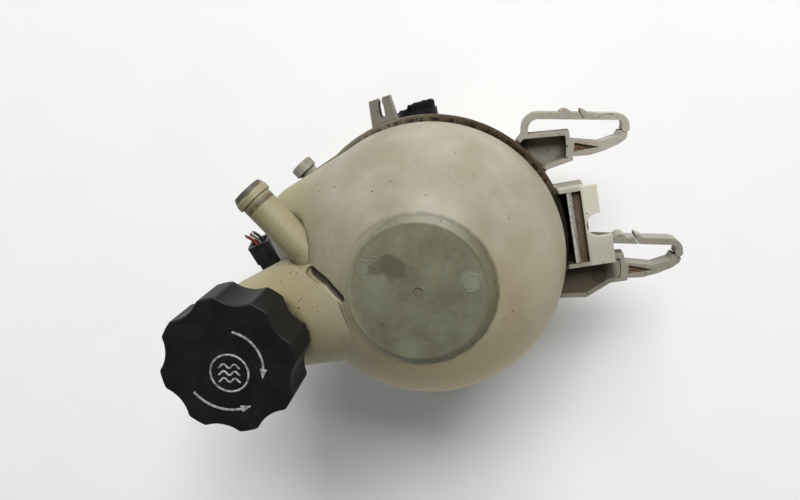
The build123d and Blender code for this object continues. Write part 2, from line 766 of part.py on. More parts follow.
def shroud_place():
    """Frame in the middle of the sensor's plug socket with Z toward the plug."""
    reach = SENSOR_LIP + SENSOR_HEAD
    middle = (sensor_place() * Pos(0, 0, reach)).position
    return Pos(middle.X, middle.Y, middle.Z) * Rot(0, 0, PLUG_ANGLE) * Rot(0, 90 - PLUG_TILT, 0)


def rounded_bar(high, wide, low, top, radius):
    """Bar along Z with a rounded rectangle as its section."""
    return Pos(0, 0, low) * extrude(RectangleRounded(high, wide, radius), top - low)


def probe_radius():
    return SENSOR_BORE_R - SENSOR_GAP


def level_sensor():
    ring_z = -SENSOR_RING_IN
    groove = 2 * SENSOR_RING_R + 2 * GROOVE_ROOM
    bed = SENSOR_BORE_R - 2 * SENSOR_RING_R
    probe = Cylinder(probe_radius(), PROBE_IN, align=DOWN)
    probe -= Pos(0, 0, ring_z) * tube(SENSOR_BORE_R + 1, bed, -groove / 2, groove / 2)
    body = probe + Cylinder(BOSS_R, SENSOR_LIP, align=UP)
    body += Cylinder(SENSOR_HEAD_R, SENSOR_LIP + SENSOR_HEAD, align=UP)
    for side in (-1, 1):
        hole = Cylinder(ELECTRODE_R, ELECTRODE_IN, align=UP)
        body -= Pos(side * ELECTRODE_SPREAD / 2, 0, -PROBE_IN) * hole
    shroud = rounded_bar(SHROUD_HEIGHT, SHROUD_WIDTH, -SHROUD_BACK, SHROUD_FRONT, PLUG_ROUND)
    room = rounded_bar(
        SHROUD_HEIGHT - 2 * SHROUD_WALL, SHROUD_WIDTH - 2 * SHROUD_WALL,
        -SHROUD_BACK + SHROUD_FLOOR, SHROUD_FRONT + 1, PLUG_ROUND / 2,
    )
    return sensor_place() * body + shroud_place() * shroud - shroud_place() * room


def sensor_seal():
    middle = SENSOR_BORE_R - SENSOR_RING_R - 0.05
    ring = Torus(middle, SENSOR_RING_R - 0.05)
    return sensor_place() * Pos(0, 0, -SENSOR_RING_IN) * ring


def electrode(side):
    pin = Cylinder(ELECTRODE_R - 0.02, ELECTRODE_OUT + ELECTRODE_IN - 0.05, align=DOWN)
    return sensor_place() * Pos(side * ELECTRODE_SPREAD / 2, 0, -PROBE_IN + ELECTRODE_IN - 0.05) * pin


def sensor_plug():
    high = SHROUD_HEIGHT - 2 * SHROUD_WALL - 2 * PLUG_GAP
    wide = SHROUD_WIDTH - 2 * SHROUD_WALL - 2 * PLUG_GAP
    front = SHROUD_FRONT + PLUG_GAP
    end = front + PLUG_LENGTH
    body = rounded_bar(high, wide, -SHROUD_BACK + SHROUD_FLOOR + PLUG_GAP, front + 1, PLUG_ROUND / 2)
    body += rounded_bar(
        SHROUD_HEIGHT + 2 * PLUG_LIP, SHROUD_WIDTH + 2 * PLUG_LIP, front, end, PLUG_ROUND
    )
    body -= rounded_bar(WIRE_ROOM_H, WIRE_ROOM_W, end - WIRE_ROOM_DEPTH, end + 1, PLUG_ROUND / 2)
    top = -SHROUD_HEIGHT / 2 - PLUG_LIP
    body += block(
        (top - LATCH_T, top + 1), (-LATCH_W / 2, LATCH_W / 2), (end - LATCH_LENGTH - 2, end - 2)
    )
    return shroud_place() * body


def wire(step):
    """Cut wire that leans out of the plug's rear."""
    floor = SHROUD_FRONT + PLUG_GAP + PLUG_LENGTH - WIRE_ROOM_DEPTH + 0.05
    first = (0, step * WIRE_STEP, floor)
    middle = (-0.3, step * WIRE_STEP + 0.5, floor + 0.55 * WIRE_LENGTH)
    last = (-1.5 - 0.4 * step, step * WIRE_STEP + 2.4, floor + WIRE_LENGTH)
    path = Spline(first, middle, last, tangents=[(0, 0, 1), (-0.3, 0.5, 1)])
    section = Plane(origin=first, z_dir=path % 0) * Circle(WIRE_R)
    return shroud_place() * sweep(section, path=path)


# Filler cap and its valves, measured from the mouth of the neck

def cap_knob():
    roof = MOUTH_GAP + CARTRIDGE_SEAT_T + CARTRIDGE_RIM_T + CAP_GAP
    top = roof + CAP_TOP_T
    outline = Circle(CAP_TIP_R)
    middle = CAP_TIP_R - CAP_SCALLOP_DEPTH + CAP_SCALLOP_R
    for lobe in range(CAP_LOBES):
        angle = CAP_LOBE_TURN + (lobe + 0.5) * 360 / CAP_LOBES
        outline -= Pos(*polar(middle, angle)) * Circle(CAP_SCALLOP_R)
    outline = fillet(outline.vertices(), CAP_TIP_ROUND)
    knob = Pos(0, 0, top - CAP_HEIGHT) * extrude(outline, CAP_HEIGHT)
    knob = fillet(knob.faces().sort_by(Axis.Z)[-1].edges(), CAP_EDGE_ROUND)
    bore = NECK_R + THREAD_ROOM
    bead = (MOUTH_GAP + CAP_GAP, MOUTH_GAP + CARTRIDGE_SEAT_T - CAP_GAP)
    room = turned_outline(
        (0, roof), (CARTRIDGE_RIM_R + CAP_GAP * 2, roof), (CARTRIDGE_RIM_R + CAP_GAP * 2, bead[1]),
        (BEAD_R, bead[1]), (BEAD_R, bead[0]), (bore, bead[0]),
        (bore, top - CAP_HEIGHT - 1), (0, top - CAP_HEIGHT - 1),
    )
    return neck_place() * (knob - room)


def ring_middle():
    return NECK_BORE_R - RING_GAP - RING_WIRE_R


def chamber_floor():
    return -CARTRIDGE_DEPTH + SEAT_PLATE_T


def cap_cartridge():
    seat = MOUTH_GAP + CARTRIDGE_SEAT_T
    rim = seat + CARTRIDGE_RIM_T
    bed = ring_middle() - RING_WIRE_R
    half = RING_WIRE_R + GROOVE_ROOM
    plate_r = CHAMBER_R + SEAT_PLATE_LIP
    body = turned_outline(
        (0, rim), (CARTRIDGE_RIM_R, rim), (CARTRIDGE_RIM_R, seat), (BEAD_R - 3 * CAP_GAP, seat),
        (BEAD_R - 3 * CAP_GAP, MOUTH_GAP), (CARTRIDGE_R, MOUTH_GAP),
        (CARTRIDGE_R, -RING_DEPTH + half), (bed, -RING_DEPTH + half),
        (bed, -RING_DEPTH - half), (CARTRIDGE_R, -RING_DEPTH - half),
        (CARTRIDGE_R, -CARTRIDGE_DEPTH), (plate_r, -CARTRIDGE_DEPTH),
        (plate_r, chamber_floor()), (CHAMBER_R, chamber_floor()),
        (CHAMBER_R, -CHAMBER_ROOF), (0, -CHAMBER_ROOF),
    )
    for vent in range(4):
        drill = Cylinder(VENT_R, 2 * NECK_R, align=UP)
        body -= Rot(0, 0, 90 * vent) * Pos(0, 0, -VENT_DEPTH) * Rot(0, 90, 0) * drill
    return neck_place() * body


def cap_seal_ring():
    return neck_place() * Pos(0, 0, -RING_DEPTH) * Torus(ring_middle(), RING_WIRE_R)


def valve_seat_plate():
    outer = CHAMBER_R + SEAT_PLATE_LIP - SEAT_PLATE_GAP
    return neck_place() * tube(outer, INLET_R, -CARTRIDGE_DEPTH, chamber_floor())


def pressure_valve_seal():
    low = chamber_floor()
    return neck_place() * tube(INLET_R + 0.5 + SEAL_LAND, INLET_R + 0.5, low, low + SEAL_T)


def valve_top():
    return chamber_floor() + SEAL_T + VALVE_T


def pressure_valve():
    low = chamber_floor() + SEAL_T
    body = Pos(0, 0, low) * Cylinder(CHAMBER_R - VALVE_GAP, VALVE_T, align=UP)
    body += Pos(0, 0, valve_top()) * Cylinder(GUIDE_R, GUIDE_RISE, align=UP)
    body -= Pos(0, 0, low - 1) * Cylinder(STEM_R + STEM_GAP, CARTRIDGE_DEPTH, align=UP)
    return neck_place() * body


def coil(radius, wire_r, low, high, turns):
    """Round-wire spring with ground ends that stand on two seats."""
    rise = high - low
    path = Helix(rise / turns, rise, radius)
    section = Plane(origin=path @ 0, z_dir=path % 0) * Circle(wire_r)
    spring = Pos(0, 0, low) * sweep(section, path=path, is_frenet=True)
    keep = Pos(0, 0, low + SPRING_SEAT) * Cylinder(radius + 3 * wire_r, rise - 2 * SPRING_SEAT, align=UP)
    return spring & keep


def pressure_spring():
    return neck_place() * coil(
        PRESSURE_COIL_R, PRESSURE_WIRE_R, valve_top(), -CHAMBER_ROOF, PRESSURE_TURNS
    )


def stem_head_low():
    return -STEM_TOP - STEM_HEAD_T


def vacuum_valve():
    top = chamber_floor() + SEAL_T - VACUUM_GAP
    head = Pos(0, 0, top) * Cylinder(INLET_R - VACUUM_HEAD_LIP, VACUUM_HEAD_T, align=DOWN)
    stem = Pos(0, 0, top) * Cylinder(STEM_R, stem_head_low() - top, align=UP)
    cap = Pos(0, 0, stem_head_low()) * Cylinder(STEM_HEAD_R, STEM_HEAD_T, align=UP)
    return neck_place() * (head + stem + cap)


def vacuum_spring():
    low = valve_top() + GUIDE_RISE
    radius = (STEM_R + STEM_GAP + STEM_HEAD_R) / 2 + VACUUM_WIRE_R / 2
    return neck_place() * coil(radius, VACUUM_WIRE_R, low, stem_head_low(), VACUUM_TURNS)


def pieces():
    return upper_pieces() | {
        "lower_shell": lower_shell(),
        "upper_clip_strap": clip_strap(clip_place(UPPER_CLIP_REACH, UPPER_CLIP_ANGLE)),
        "lower_clip_strap": clip_strap(clip_place(LOWER_CLIP_REACH, LOWER_CLIP_ANGLE)),
        "outlet_hose_stub": outlet_hose_stub(),
        "outlet_hose_clamp": outlet_hose_clamp(),
        "level_sensor": level_sensor(),
        "sensor_seal": sensor_seal(),
        "sensor_electrode_left": electrode(-1),
        "sensor_electrode_right": electrode(1),
        "sensor_plug": sensor_plug(),
        "plug_wire_red": wire(1),
        "plug_wire_grey": wire(0),
        "plug_wire_dark": wire(-1),
        "cap_knob": cap_knob(),
        "cap_cartridge": cap_cartridge(),
        "cap_seal_ring": cap_seal_ring(),
        "valve_seat_plate": valve_seat_plate(),
        "pressure_valve": pressure_valve(),
        "pressure_valve_seal": pressure_valve_seal(),
        "pressure_spring": pressure_spring(),
        "vacuum_valve": vacuum_valve(),
        "vacuum_spring": vacuum_spring(),
    }


os.makedirs("parts", exist_ok=True)
to_pocket = Pos(-POCKET_X, 0, -POCKET_Z)
for name, shape in pieces().items():
    export_step(to_pocket * shape, f"parts/{name}.step")
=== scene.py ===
# %% [markdown]
# # Coolant expansion tank
#
# A used expansion tank from a car's cooling circuit lies on a white table. Its two half shells are
# welded round a seam, a black lobed cap closes the filler neck, and two snap-shut clips carried
# hoses past it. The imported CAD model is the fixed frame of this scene: every solid keeps its
# place, and Blender adds finishes and the small pieces that a moulder, a mechanic or the years
# left on it.

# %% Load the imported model
import math

import bmesh
import bpy
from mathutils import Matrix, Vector


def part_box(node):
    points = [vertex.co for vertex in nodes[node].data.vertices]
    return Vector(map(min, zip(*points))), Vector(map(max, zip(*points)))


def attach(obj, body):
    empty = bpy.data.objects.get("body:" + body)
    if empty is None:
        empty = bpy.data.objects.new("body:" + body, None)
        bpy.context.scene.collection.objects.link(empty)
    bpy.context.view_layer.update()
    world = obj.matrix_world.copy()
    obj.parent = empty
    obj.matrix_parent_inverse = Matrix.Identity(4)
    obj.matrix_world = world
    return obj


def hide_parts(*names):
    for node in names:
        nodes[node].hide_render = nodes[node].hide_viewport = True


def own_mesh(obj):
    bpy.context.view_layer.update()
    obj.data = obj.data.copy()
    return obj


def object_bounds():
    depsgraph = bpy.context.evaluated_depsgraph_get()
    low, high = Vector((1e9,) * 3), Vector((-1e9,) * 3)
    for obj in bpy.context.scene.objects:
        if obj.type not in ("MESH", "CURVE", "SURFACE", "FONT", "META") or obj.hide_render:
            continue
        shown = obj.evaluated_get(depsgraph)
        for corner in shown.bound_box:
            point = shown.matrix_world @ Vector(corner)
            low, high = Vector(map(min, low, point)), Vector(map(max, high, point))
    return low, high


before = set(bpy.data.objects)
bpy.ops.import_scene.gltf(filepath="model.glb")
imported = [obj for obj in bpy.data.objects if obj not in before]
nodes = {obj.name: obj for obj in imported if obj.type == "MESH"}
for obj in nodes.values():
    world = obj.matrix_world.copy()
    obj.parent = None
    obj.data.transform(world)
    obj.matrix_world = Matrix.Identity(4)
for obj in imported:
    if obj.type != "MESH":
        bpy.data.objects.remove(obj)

cad_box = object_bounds()
bpy.ops.object.select_all(action="DESELECT")

# %% [markdown]
# ## Camera
#
# The photograph looks almost straight down on the tank, from about 40 cm above the seam and a
# little from the outlet's side. A camera can be set by eye, or fitted: here its place and its turn
# come from matching the seam flange, the cap's lobes and the clips, so the render can be laid over
# the photo.

# %% Camera
MM = 0.001
SEAM_Z = 7 * MM  # plane where the half shells meet
TURN = math.radians(-11.0)  # of the camera, the clips and the cap's signs
camera_data = bpy.data.cameras.new("camera")
camera = bpy.data.objects.new("camera", camera_data)
bpy.context.scene.collection.objects.link(camera)
camera.location = (-0.0301, 0.0942, 0.4068)
camera.rotation_euler = (math.radians(-14.39), math.radians(7.2), TURN)
camera_data.sensor_width = 36.0
camera_data.lens = 33.3
camera_data.clip_start = 0.01
bpy.context.scene.camera = camera
bpy.context.scene.view_settings.view_transform = "Standard"
print("camera height over the seam:", round(camera.location.z - SEAM_Z, 3), "m")

# %% [markdown]
# ## Colours and nodes
#
# Colours are noted as sRGB hex values, the way a colour picker shows them, and Blender's shaders
# want linear light, so one function turns the first into the second. A second function adds a
# shader node with its settings and its links, which keeps each material a short list of steps.

# %% Colour and node helpers
def linear(text):
    """Linear RGBA of an sRGB hex colour."""
    parts = [int(text[i:i + 2], 16) / 255 for i in (1, 3, 5)]
    curve = [c / 12.92 if c <= 0.04045 else ((c + 0.055) / 1.055) ** 2.4 for c in parts]
    return (*curve, 1.0)


def add(tree, kind, links=None, **settings):
    """Add a shader node, set its properties, and link or set its inputs."""
    node = tree.nodes.new("ShaderNode" + kind)
    for name, value in settings.items():
        setattr(node, name, value)
    for socket, value in (links or {}).items():
        if isinstance(value, bpy.types.NodeSocket):
            tree.links.new(value, node.inputs[socket])
        else:
            node.inputs[socket].default_value = value
    return node


def new_finish(name):
    """Empty material with its node tree, Principled shader and object coordinates."""
    finish = bpy.data.materials.new(name)
    finish.use_nodes = True
    tree = finish.node_tree
    place = add(tree, "TexCoord").outputs["Object"]
    return finish, tree, tree.nodes["Principled BSDF"].inputs, place


print("helpers ready; mid grey is", [round(c, 3) for c in linear("#808080")])

# %% [markdown]
# ## Aged polypropylene
#
# The shells are moulded from natural polypropylene. New, it is milky and lets light through; after
# years of hot coolant it is beige, yellower by the neck and the spigot, and grey-green on the
# raised disc, where the dark inside shows through. Road dirt sticks in every corner, and the
# corners and creases also get painted shade; painted warm light lies on the side away from the
# lamp, and the disc is painted lighter towards the lamp. One material holds all of it: the masks
# are worked out from the place on the tank, so the two shells, the clip straps and the small added
# pieces agree where they meet.

# %% Aged polypropylene: base colour by place
# Stains seen on the disc: place and radius in mm, colour and strength
STAINS = (
    ((-91.4, 14.2, 87.3), 6.5, "#474330", 0.55), ((-98.1, 13.3, 87.3), 4.5, "#4E4A36", 0.5),
    ((-55.2, 1.4, 87.3), 6.0, "#8F9080", 0.45), ((-90.2, -27.0, 87.3), 7.0, "#7F7F6B", 0.4),
)
BALL_X = -81.2 * MM  # axis of the ball and of its disc
polypropylene, tree, shader, place = new_finish("aged_polypropylene")
at_x, at_y, at_z = add(tree, "SeparateXYZ", {0: place}).outputs
flat = add(tree, "VectorMath", {0: place, 1: (1, 1, 0)}, operation="MULTIPLY").outputs[0]
from_axis = add(
    tree, "VectorMath", {0: flat, 1: (BALL_X, 0, 0)}, operation="DISTANCE"
).outputs["Value"]


def within(*bands):
    """Product of shares on the surface. A band is such a share, or a value with two places in mm,
    between which its share goes from 0 to 1 or from one given share to another."""
    inside = 1.0
    for band in bands:
        if isinstance(band, tuple):
            value, first, last, *ends = band
            low, high = ends or (0.0, 1.0)
            span = {0: value, 1: first * MM, 2: last * MM, 3: low, 4: high}
            band = add(tree, "MapRange", span).outputs[0]
        inside = add(tree, "Math", {0: inside, 1: band}, operation="MULTIPLY").outputs[0]
    return inside


# Cloudy ageing over patches of about 35 mm, and yellower towards the neck and the spigot
clouds = add(
    tree, "TexNoise", {"Vector": place, "Scale": 1 / (35 * MM), "Detail": 4.0, "Roughness": 0.6}
).outputs[0]
cloud_share = add(
    tree, "MapRange", {0: clouds, 1: 0.35, 2: 0.65}, interpolation_type="SMOOTHSTEP"
).outputs[0]
colour = add(
    tree, "Mix", {0: cloud_share, 6: linear("#857D69"), 7: linear("#948E7E")}, data_type="RGBA"
).outputs[2]
neck_side = add(
    tree, "MapRange", {0: at_x, 1: -118 * MM, 2: -146 * MM, 4: 0.6}, interpolation_type="SMOOTHSTEP"
).outputs[0]

# Greyer on all that stands outside the seam flange, darker on the lower clip, pale on the tabs
grey = within((from_axis, 74.2, 76), (at_z, 14, 12))
lower_clip = within((at_y, 8, -14))
grey_colour = add(
    tree, "Mix", {0: lower_clip, 6: linear("#A8A396"), 7: linear("#8B877A")}, data_type="RGBA"
).outputs[2]
tabs = within((at_z, 8.2, 8.7), (at_x, 1, 4))
tab_colour = add(
    tree, "Mix", {0: lower_clip, 6: linear("#C6C3B3"), 7: linear("#AAA899")}, data_type="RGBA"
).outputs[2]

# Grey-green disc with cloudy deposits behind it
disc_soft = add(
    tree, "MapRange", {0: at_x, 1: -117 * MM, 2: -88 * MM, 3: 28 * MM, 4: 35.2 * MM}
).outputs[0]
on_disc = add(
    tree, "MapRange", {0: from_axis, 1: 36.6 * MM, 2: disc_soft}, interpolation_type="SMOOTHSTEP"
).outputs[0]
disc_high = within((at_z, 82, 85))
deposit = add(
    tree, "TexNoise", {"Vector": place, "Scale": 1 / (14 * MM), "Detail": 6.0, "Roughness": 0.65}
).outputs[0]
deposit_share = add(tree, "MapRange", {0: deposit, 1: 0.38, 2: 0.66}).outputs[0]
disc_colour = add(
    tree, "Mix", {0: deposit_share, 6: linear("#605F4C"), 7: linear("#72725F")}, data_type="RGBA"
).outputs[2]
# Painted light: the disc lighter on the side towards the lamp and darker on the side away from it
disc_painted_light = within((at_y, -28, 28, 0.88, 1.22))
disc_colour = add(
    tree, "VectorMath", {0: disc_colour, "Scale": disc_painted_light}, operation="SCALE"
).outputs[0]

# Layers of colour over the clouds, from the lowest to the topmost
for share, shade in (
    # Painted light: warm bounce light on the side away from the lamp, and a painted glow, palest at
    # that edge
    (within((at_y, 25, -65, 0, 0.9)), linear("#A8986E")),  # warmer away from the outlet
    (within((at_y, -32, -60, 0, 0.7)), linear("#D2BF8A")),  # palest at that edge
    (neck_side, linear("#8A8159")),
    (grey, grey_colour),
    (within((at_y, 46, 62), (at_x, -60, -75, 0, 0.7), grey), linear("#4F483C")),  # peg, pipe clip
    (tabs, tab_colour),
    (within(on_disc, disc_high), disc_colour),
):
    colour = add(tree, "Mix", {0: share, 6: colour, 7: shade}, data_type="RGBA").outputs[2]

# Stains on the disc, a faint ring of an ejector pin on the dome, and a fine mottle over all
for spot, radius, shade, share in STAINS:
    away = add(
        tree, "VectorMath", {0: place, 1: [v * MM for v in spot]}, operation="DISTANCE"
    ).outputs["Value"]
    ragged = add(
        tree, "MapRange", {0: deposit, 1: 0.3, 2: 0.7, 3: -0.6 * radius * MM, 4: 0.6 * radius * MM}
    ).outputs[0]
    away = add(tree, "Math", {0: away, 1: ragged}, operation="ADD").outputs[0]
    stain = within((away, radius, 0.55 * radius, 0, share))
    colour = add(tree, "Mix", {0: stain, 6: colour, 7: linear(shade)}, data_type="RGBA").outputs[2]
pin_away = add(
    tree, "VectorMath", {0: place, 1: (-54 * MM, 47 * MM, 69.6 * MM)}, operation="DISTANCE"
).outputs["Value"]
pin_away = add(tree, "Math", {0: pin_away, 1: 6 * MM}, operation="SUBTRACT").outputs[0]
pin_away = add(tree, "Math", {0: pin_away}, operation="ABSOLUTE").outputs[0]
pin_ring = within((pin_away, 0.5, 0.1, 0, 0.22))
colour = add(
    tree, "Mix", {0: pin_ring, 6: colour, 7: linear("#5E5848")}, data_type="RGBA"
).outputs[2]
mottle = add(tree, "TexNoise", {"Vector": place, "Scale": 1 / (3 * MM), "Detail": 3.0}).outputs[0]
mottle_share = add(tree, "MapRange", {0: mottle, 3: 0.93, 4: 1.05}).outputs[0]
colour = add(tree, "VectorMath", {0: colour, "Scale": mottle_share}, operation="SCALE").outputs[0]
print("base colour nodes:", len(tree.nodes))

# %% [markdown]
# ### Dirt and painted shade
#
# Dirt needs no painting by hand. Cycles' Ambient Occlusion node tells how closed in a point is, so
# corners fill by themselves with dirt and painted shade; the band round the seam, where oil and
# dust gather, the trays' floors and the pocket, whose deep gap gets painted shade as well, are
# added by place. A broken noise edge keeps them from looking airbrushed.

# %% Aged polypropylene: caked dirt and painted shade
grime = add(
    tree, "TexNoise", {"Vector": place, "Scale": 1 / (7 * MM), "Detail": 8.0, "Roughness": 0.7}
).outputs[0]
grime_edge = add(tree, "MapRange", {0: grime, 1: 0.30, 2: 0.56, 3: 0.55}).outputs[0]
# Painted shade: darker where a point is closed in, as the Ambient Occlusion node tells, laid on
# with the dirt caked there
closed_in = add(tree, "AmbientOcclusion", {"Distance": 9 * MM}, samples=8).outputs["AO"]
crevice = add(
    tree, "MapRange", {0: closed_in, 1: 0.72, 2: 0.30}, interpolation_type="SMOOTHSTEP"
).outputs[0]

# Band round the seam, weaker towards the neck
seam_away = add(tree, "Math", {0: at_z, 1: SEAM_Z}, operation="SUBTRACT").outputs[0]
seam_away = add(tree, "Math", {0: seam_away}, operation="ABSOLUTE").outputs[0]
seam_band = within((seam_away, 6.5, 4.0), (from_axis, 68.6, 69.4))
seam_edge = add(tree, "MapRange", {0: grime, 1: 0.34, 2: 0.46, 3: 0.9}).outputs[0]
at_seam = within(
    seam_band, (from_axis, 75.8, 75.0), (at_x, -130, -45, 0.35, 1.0),
    (from_axis, 72.8, 71.8, 0.95, 1.0), seam_edge,
)

# Deep dirt on the trays' floors, right of the ball and below the clips' bars
tray_most = add(tree, "MapRange", {0: lower_clip, 3: 0.42, 4: 0.85}).outputs[0]
tray_floor = within((at_z, 4.2, 2.6), (at_x, -40, -30), grey, (at_x, 18, 14, 0, tray_most))

# Black dirt and painted shade between the ball and the pocket's walls, and brown dirt in its slot
aside = add(tree, "Math", {0: at_y}, operation="ABSOLUTE").outputs[0]
pocket = within((aside, 20.2, 19.4), (at_z, 10.9, 10.4))
pocket_gap_shade_and_dirt = within(pocket, (at_x, -14, -11), (at_x, -1, -3))
in_slot = within(pocket, (at_x, -3.4, -2.6), (at_x, 2.95, 2.6, 0, 0.85))

# All the caked dirt and the painted shade together
dirt_and_shade = within(crevice, grime_edge)
for mask in (tray_floor, at_seam, pocket_gap_shade_and_dirt):
    dirt_and_shade = add(tree, "Math", {0: dirt_and_shade, 1: mask}, operation="MAXIMUM").outputs[0]
dirt_and_shade_colour = add(
    tree, "Mix", {0: grime, 6: linear("#4E3F2D"), 7: linear("#1F1811")}, data_type="RGBA"
).outputs[2]
slot_brown = add(
    tree, "Mix", {0: grime, 6: linear("#6E553A"), 7: linear("#2E2216")}, data_type="RGBA"
).outputs[2]

# Clean plastic where the pocket's inner wall tore, and a dark film in the shallow mark that an
# ejector pin left on the lower tray
torn_clean = within(
    (at_z, 10.7, 11.0), (at_x, -5.6, -4.8), (at_x, -2.2, -4.2), (aside, 19.6, 19.0, 0, 0.85)
)
pin_mark = (6.74 * MM, -30.78 * MM, 0)
to_pin = add(tree, "VectorMath", {0: flat, 1: pin_mark}, operation="DISTANCE").outputs["Value"]
in_pin = within((to_pin, 4.3, 4.0, 0, 0.45), (at_z, 4, 3.4))
for share, shade in (
    (dirt_and_shade, dirt_and_shade_colour), (pocket_gap_shade_and_dirt, linear("#1E1912")), (in_slot, slot_brown),
    (torn_clean, linear("#D9D5C8")), (in_pin, linear("#2E2A22")),
):
    colour = add(tree, "Mix", {0: share, 6: colour, 7: shade}, data_type="RGBA").outputs[2]
print("with caked dirt:", len(tree.nodes))

# %% [markdown]
# ### Spatter and creases
#
# Thin dirt follows its own places: drops dried on the clips, crumbs lie where the flange meets the
# dome, and a dark line of dirt and painted shade runs round the disc, along the groove beside the
# tunnel and round the spigot's root; the disc's slope gets painted shade on the side away from the
# neck. Such a line can be painted on a texture, but a distance worked out in nodes needs no
# unwrapping and stays sharp: the distance from a circle, or from the straight run between two
# points.

# %% Aged polypropylene: spatter and creases
# Brown spatter on the clips and the trays, and not on the tabs or the torn edge
drops = add(
    tree, "TexNoise", {"Vector": place, "Scale": 1 / (2.4 * MM), "Detail": 7.0, "Roughness": 0.72}
).outputs[0]
drop_share = add(tree, "MapRange", {0: drops, 1: 0.57, 2: 0.66, 4: 0.75}).outputs[0]
off_tabs = add(tree, "Math", {0: 1.0, 1: tabs}, operation="SUBTRACT").outputs[0]
off_torn = add(tree, "Math", {0: 1.0, 1: torn_clean}, operation="SUBTRACT").outputs[0]
spatter = within(drop_share, grey, off_tabs, off_torn)

# Dark crumbs in the corner between the flange and the dome
crumb_some = add(tree, "MapRange", {0: drops, 1: 0.47, 2: 0.53, 4: 0.95}).outputs[0]
crumb = within(seam_band, (from_axis, 73.3, 72.6), crumb_some, (at_x, -125, -85, 0.3, 1.0))

# Painted shade: a darker, yellower slope of the disc on the side away from the neck
slope = within((from_axis, 30.5, 34), (from_axis, 37, 36), (at_x, -85, -52, 0, 0.6), disc_high)

# Dark line of dirt and painted shade where the disc's slope meets the dome, deepest on the side
# away from the neck
rim_away = add(tree, "Math", {0: from_axis, 1: 36.2 * MM}, operation="SUBTRACT").outputs[0]
rim_away = add(tree, "Math", {0: rim_away}, operation="ABSOLUTE").outputs[0]
rim_line = add(
    tree, "MapRange", {0: rim_away, 1: 1.5 * MM, 2: 0.2 * MM}, interpolation_type="SMOOTHSTEP"
).outputs[0]
rim_broken = add(tree, "MapRange", {0: grime, 1: 0.30, 2: 0.55}).outputs[0]
rim_dirt_and_shade = within(rim_line, disc_high, (at_x, -118, -52, 0.15, 0.8), rim_broken)


def to_run(first, last):
    """Distance from the straight run between two points, as a node socket."""
    first, last = Vector(first) * MM, Vector(last) * MM
    run = last - first
    start = add(tree, "VectorMath", {0: place, 1: first}, operation="SUBTRACT").outputs[0]
    share = add(
        tree, "VectorMath", {0: start, 1: run / run.length_squared}, operation="DOT_PRODUCT"
    ).outputs["Value"]
    share = add(tree, "Math", {0: share, 1: 0.0}, operation="ADD", use_clamp=True).outputs[0]
    step = add(tree, "VectorMath", {0: run, "Scale": share}, operation="SCALE").outputs[0]
    return add(tree, "VectorMath", {0: start, 1: step}, operation="DISTANCE").outputs["Value"]


# Brown dirt and painted shade along the bottom of the groove between the tunnel and the dome
upper_run = to_run((-133.2, 13.9, 71.5), (-125.3, 9.4, 79.7))
lower_run = to_run((-125.3, 9.4, 79.7), (-118.5, 1.7, 85.2))
to_groove = add(tree, "Math", {0: upper_run, 1: lower_run}, operation="MINIMUM").outputs[0]
ball_centre = (BALL_X, 0, 23 * MM)
from_centre = add(
    tree, "VectorMath", {0: place, 1: ball_centre}, operation="DISTANCE"
).outputs["Value"]
groove_dirt_and_shade = within((to_groove, 3.2, 2.7), (from_centre, 71.4, 70.7, 0, 0.95))

# Painted shade and brown dirt in the crease round the spigot's root, on the surfaces within 1.4 mm
# of it
to_spigot = to_run((-153.3, 46.2, 59), (-129.9, 10.1, 59))
crease_broken = add(tree, "MapRange", {0: grime, 1: 0.34, 2: 0.50, 3: 0.3, 4: 0.9}).outputs[0]
crease_shade_and_dirt = within((to_spigot, 9.6, 8.5), (to_spigot, 8.24, 8.32), crease_broken)
for share, shade in (
    (spatter, "#4A3B2A"), (crumb, "#1E150D"), (slope, "#5A5234"), (rim_dirt_and_shade, "#4A4230"),
    (groove_dirt_and_shade, "#2C2418"), (crease_shade_and_dirt, "#43331F"),
):
    colour = add(tree, "Mix", {0: share, 6: colour, 7: linear(shade)}, data_type="RGBA").outputs[2]
print("with creases:", len(tree.nodes))

# %% [markdown]
# ### Grains and the moulded skin
#
# Grains of tar and dust are single dark dots, which Voronoi cells give: a dot at a cell's middle,
# and a lot drawn from the cell's colour that leaves most cells bare. Last come the surface's own
# marks: the fine ripple of the mould, matt dirt, and the light that goes a little way into clean
# plastic.

# %% Aged polypropylene: grains, the rubber mark and the skin
# Black grains of road tar, about 0.7 mm across and a few to the square centimetre
grains = add(tree, "TexVoronoi", {"Vector": place, "Scale": 1 / (5 * MM), "Randomness": 1.0})
grain_core = add(tree, "MapRange", {0: grains.outputs["Distance"], 1: 0.10, 2: 0.07}).outputs[0]
grain_pick = add(tree, "SeparateColor", {0: grains.outputs["Color"]}).outputs[0]
grain_some = add(tree, "MapRange", {0: grain_pick, 1: 0.80, 2: 0.82}).outputs[0]
grain = within(grain_core, grain_some)

# Finer and closer grains round the spigot's root and on the tunnel beside the cap
spigot_root = (-141 * MM, 18 * MM, 62 * MM)
to_root = add(tree, "VectorMath", {0: place, 1: spigot_root}, operation="DISTANCE").outputs["Value"]
tunnel_top = (-139 * MM, -6 * MM, 79 * MM)
to_tunnel = add(
    tree, "VectorMath", {0: place, 1: tunnel_top}, operation="DISTANCE"
).outputs["Value"]
by_root = within((to_root, 23, 8))
by_tunnel = within((to_tunnel, 17, 5))
grainy = add(tree, "Math", {0: by_root, 1: by_tunnel}, operation="MAXIMUM").outputs[0]
fine_grains = add(tree, "TexVoronoi", {"Vector": place, "Scale": 1 / (1.9 * MM), "Randomness": 1.0})
fine_core = add(tree, "MapRange", {0: fine_grains.outputs["Distance"], 1: 0.24, 2: 0.16}).outputs[0]
fine_pick = add(tree, "SeparateColor", {0: fine_grains.outputs["Color"]}).outputs[0]
fine_some = add(tree, "MapRange", {0: within(fine_pick, grainy), 1: 0.50, 2: 0.54}).outputs[0]
fine_grain = within(fine_core, fine_some)

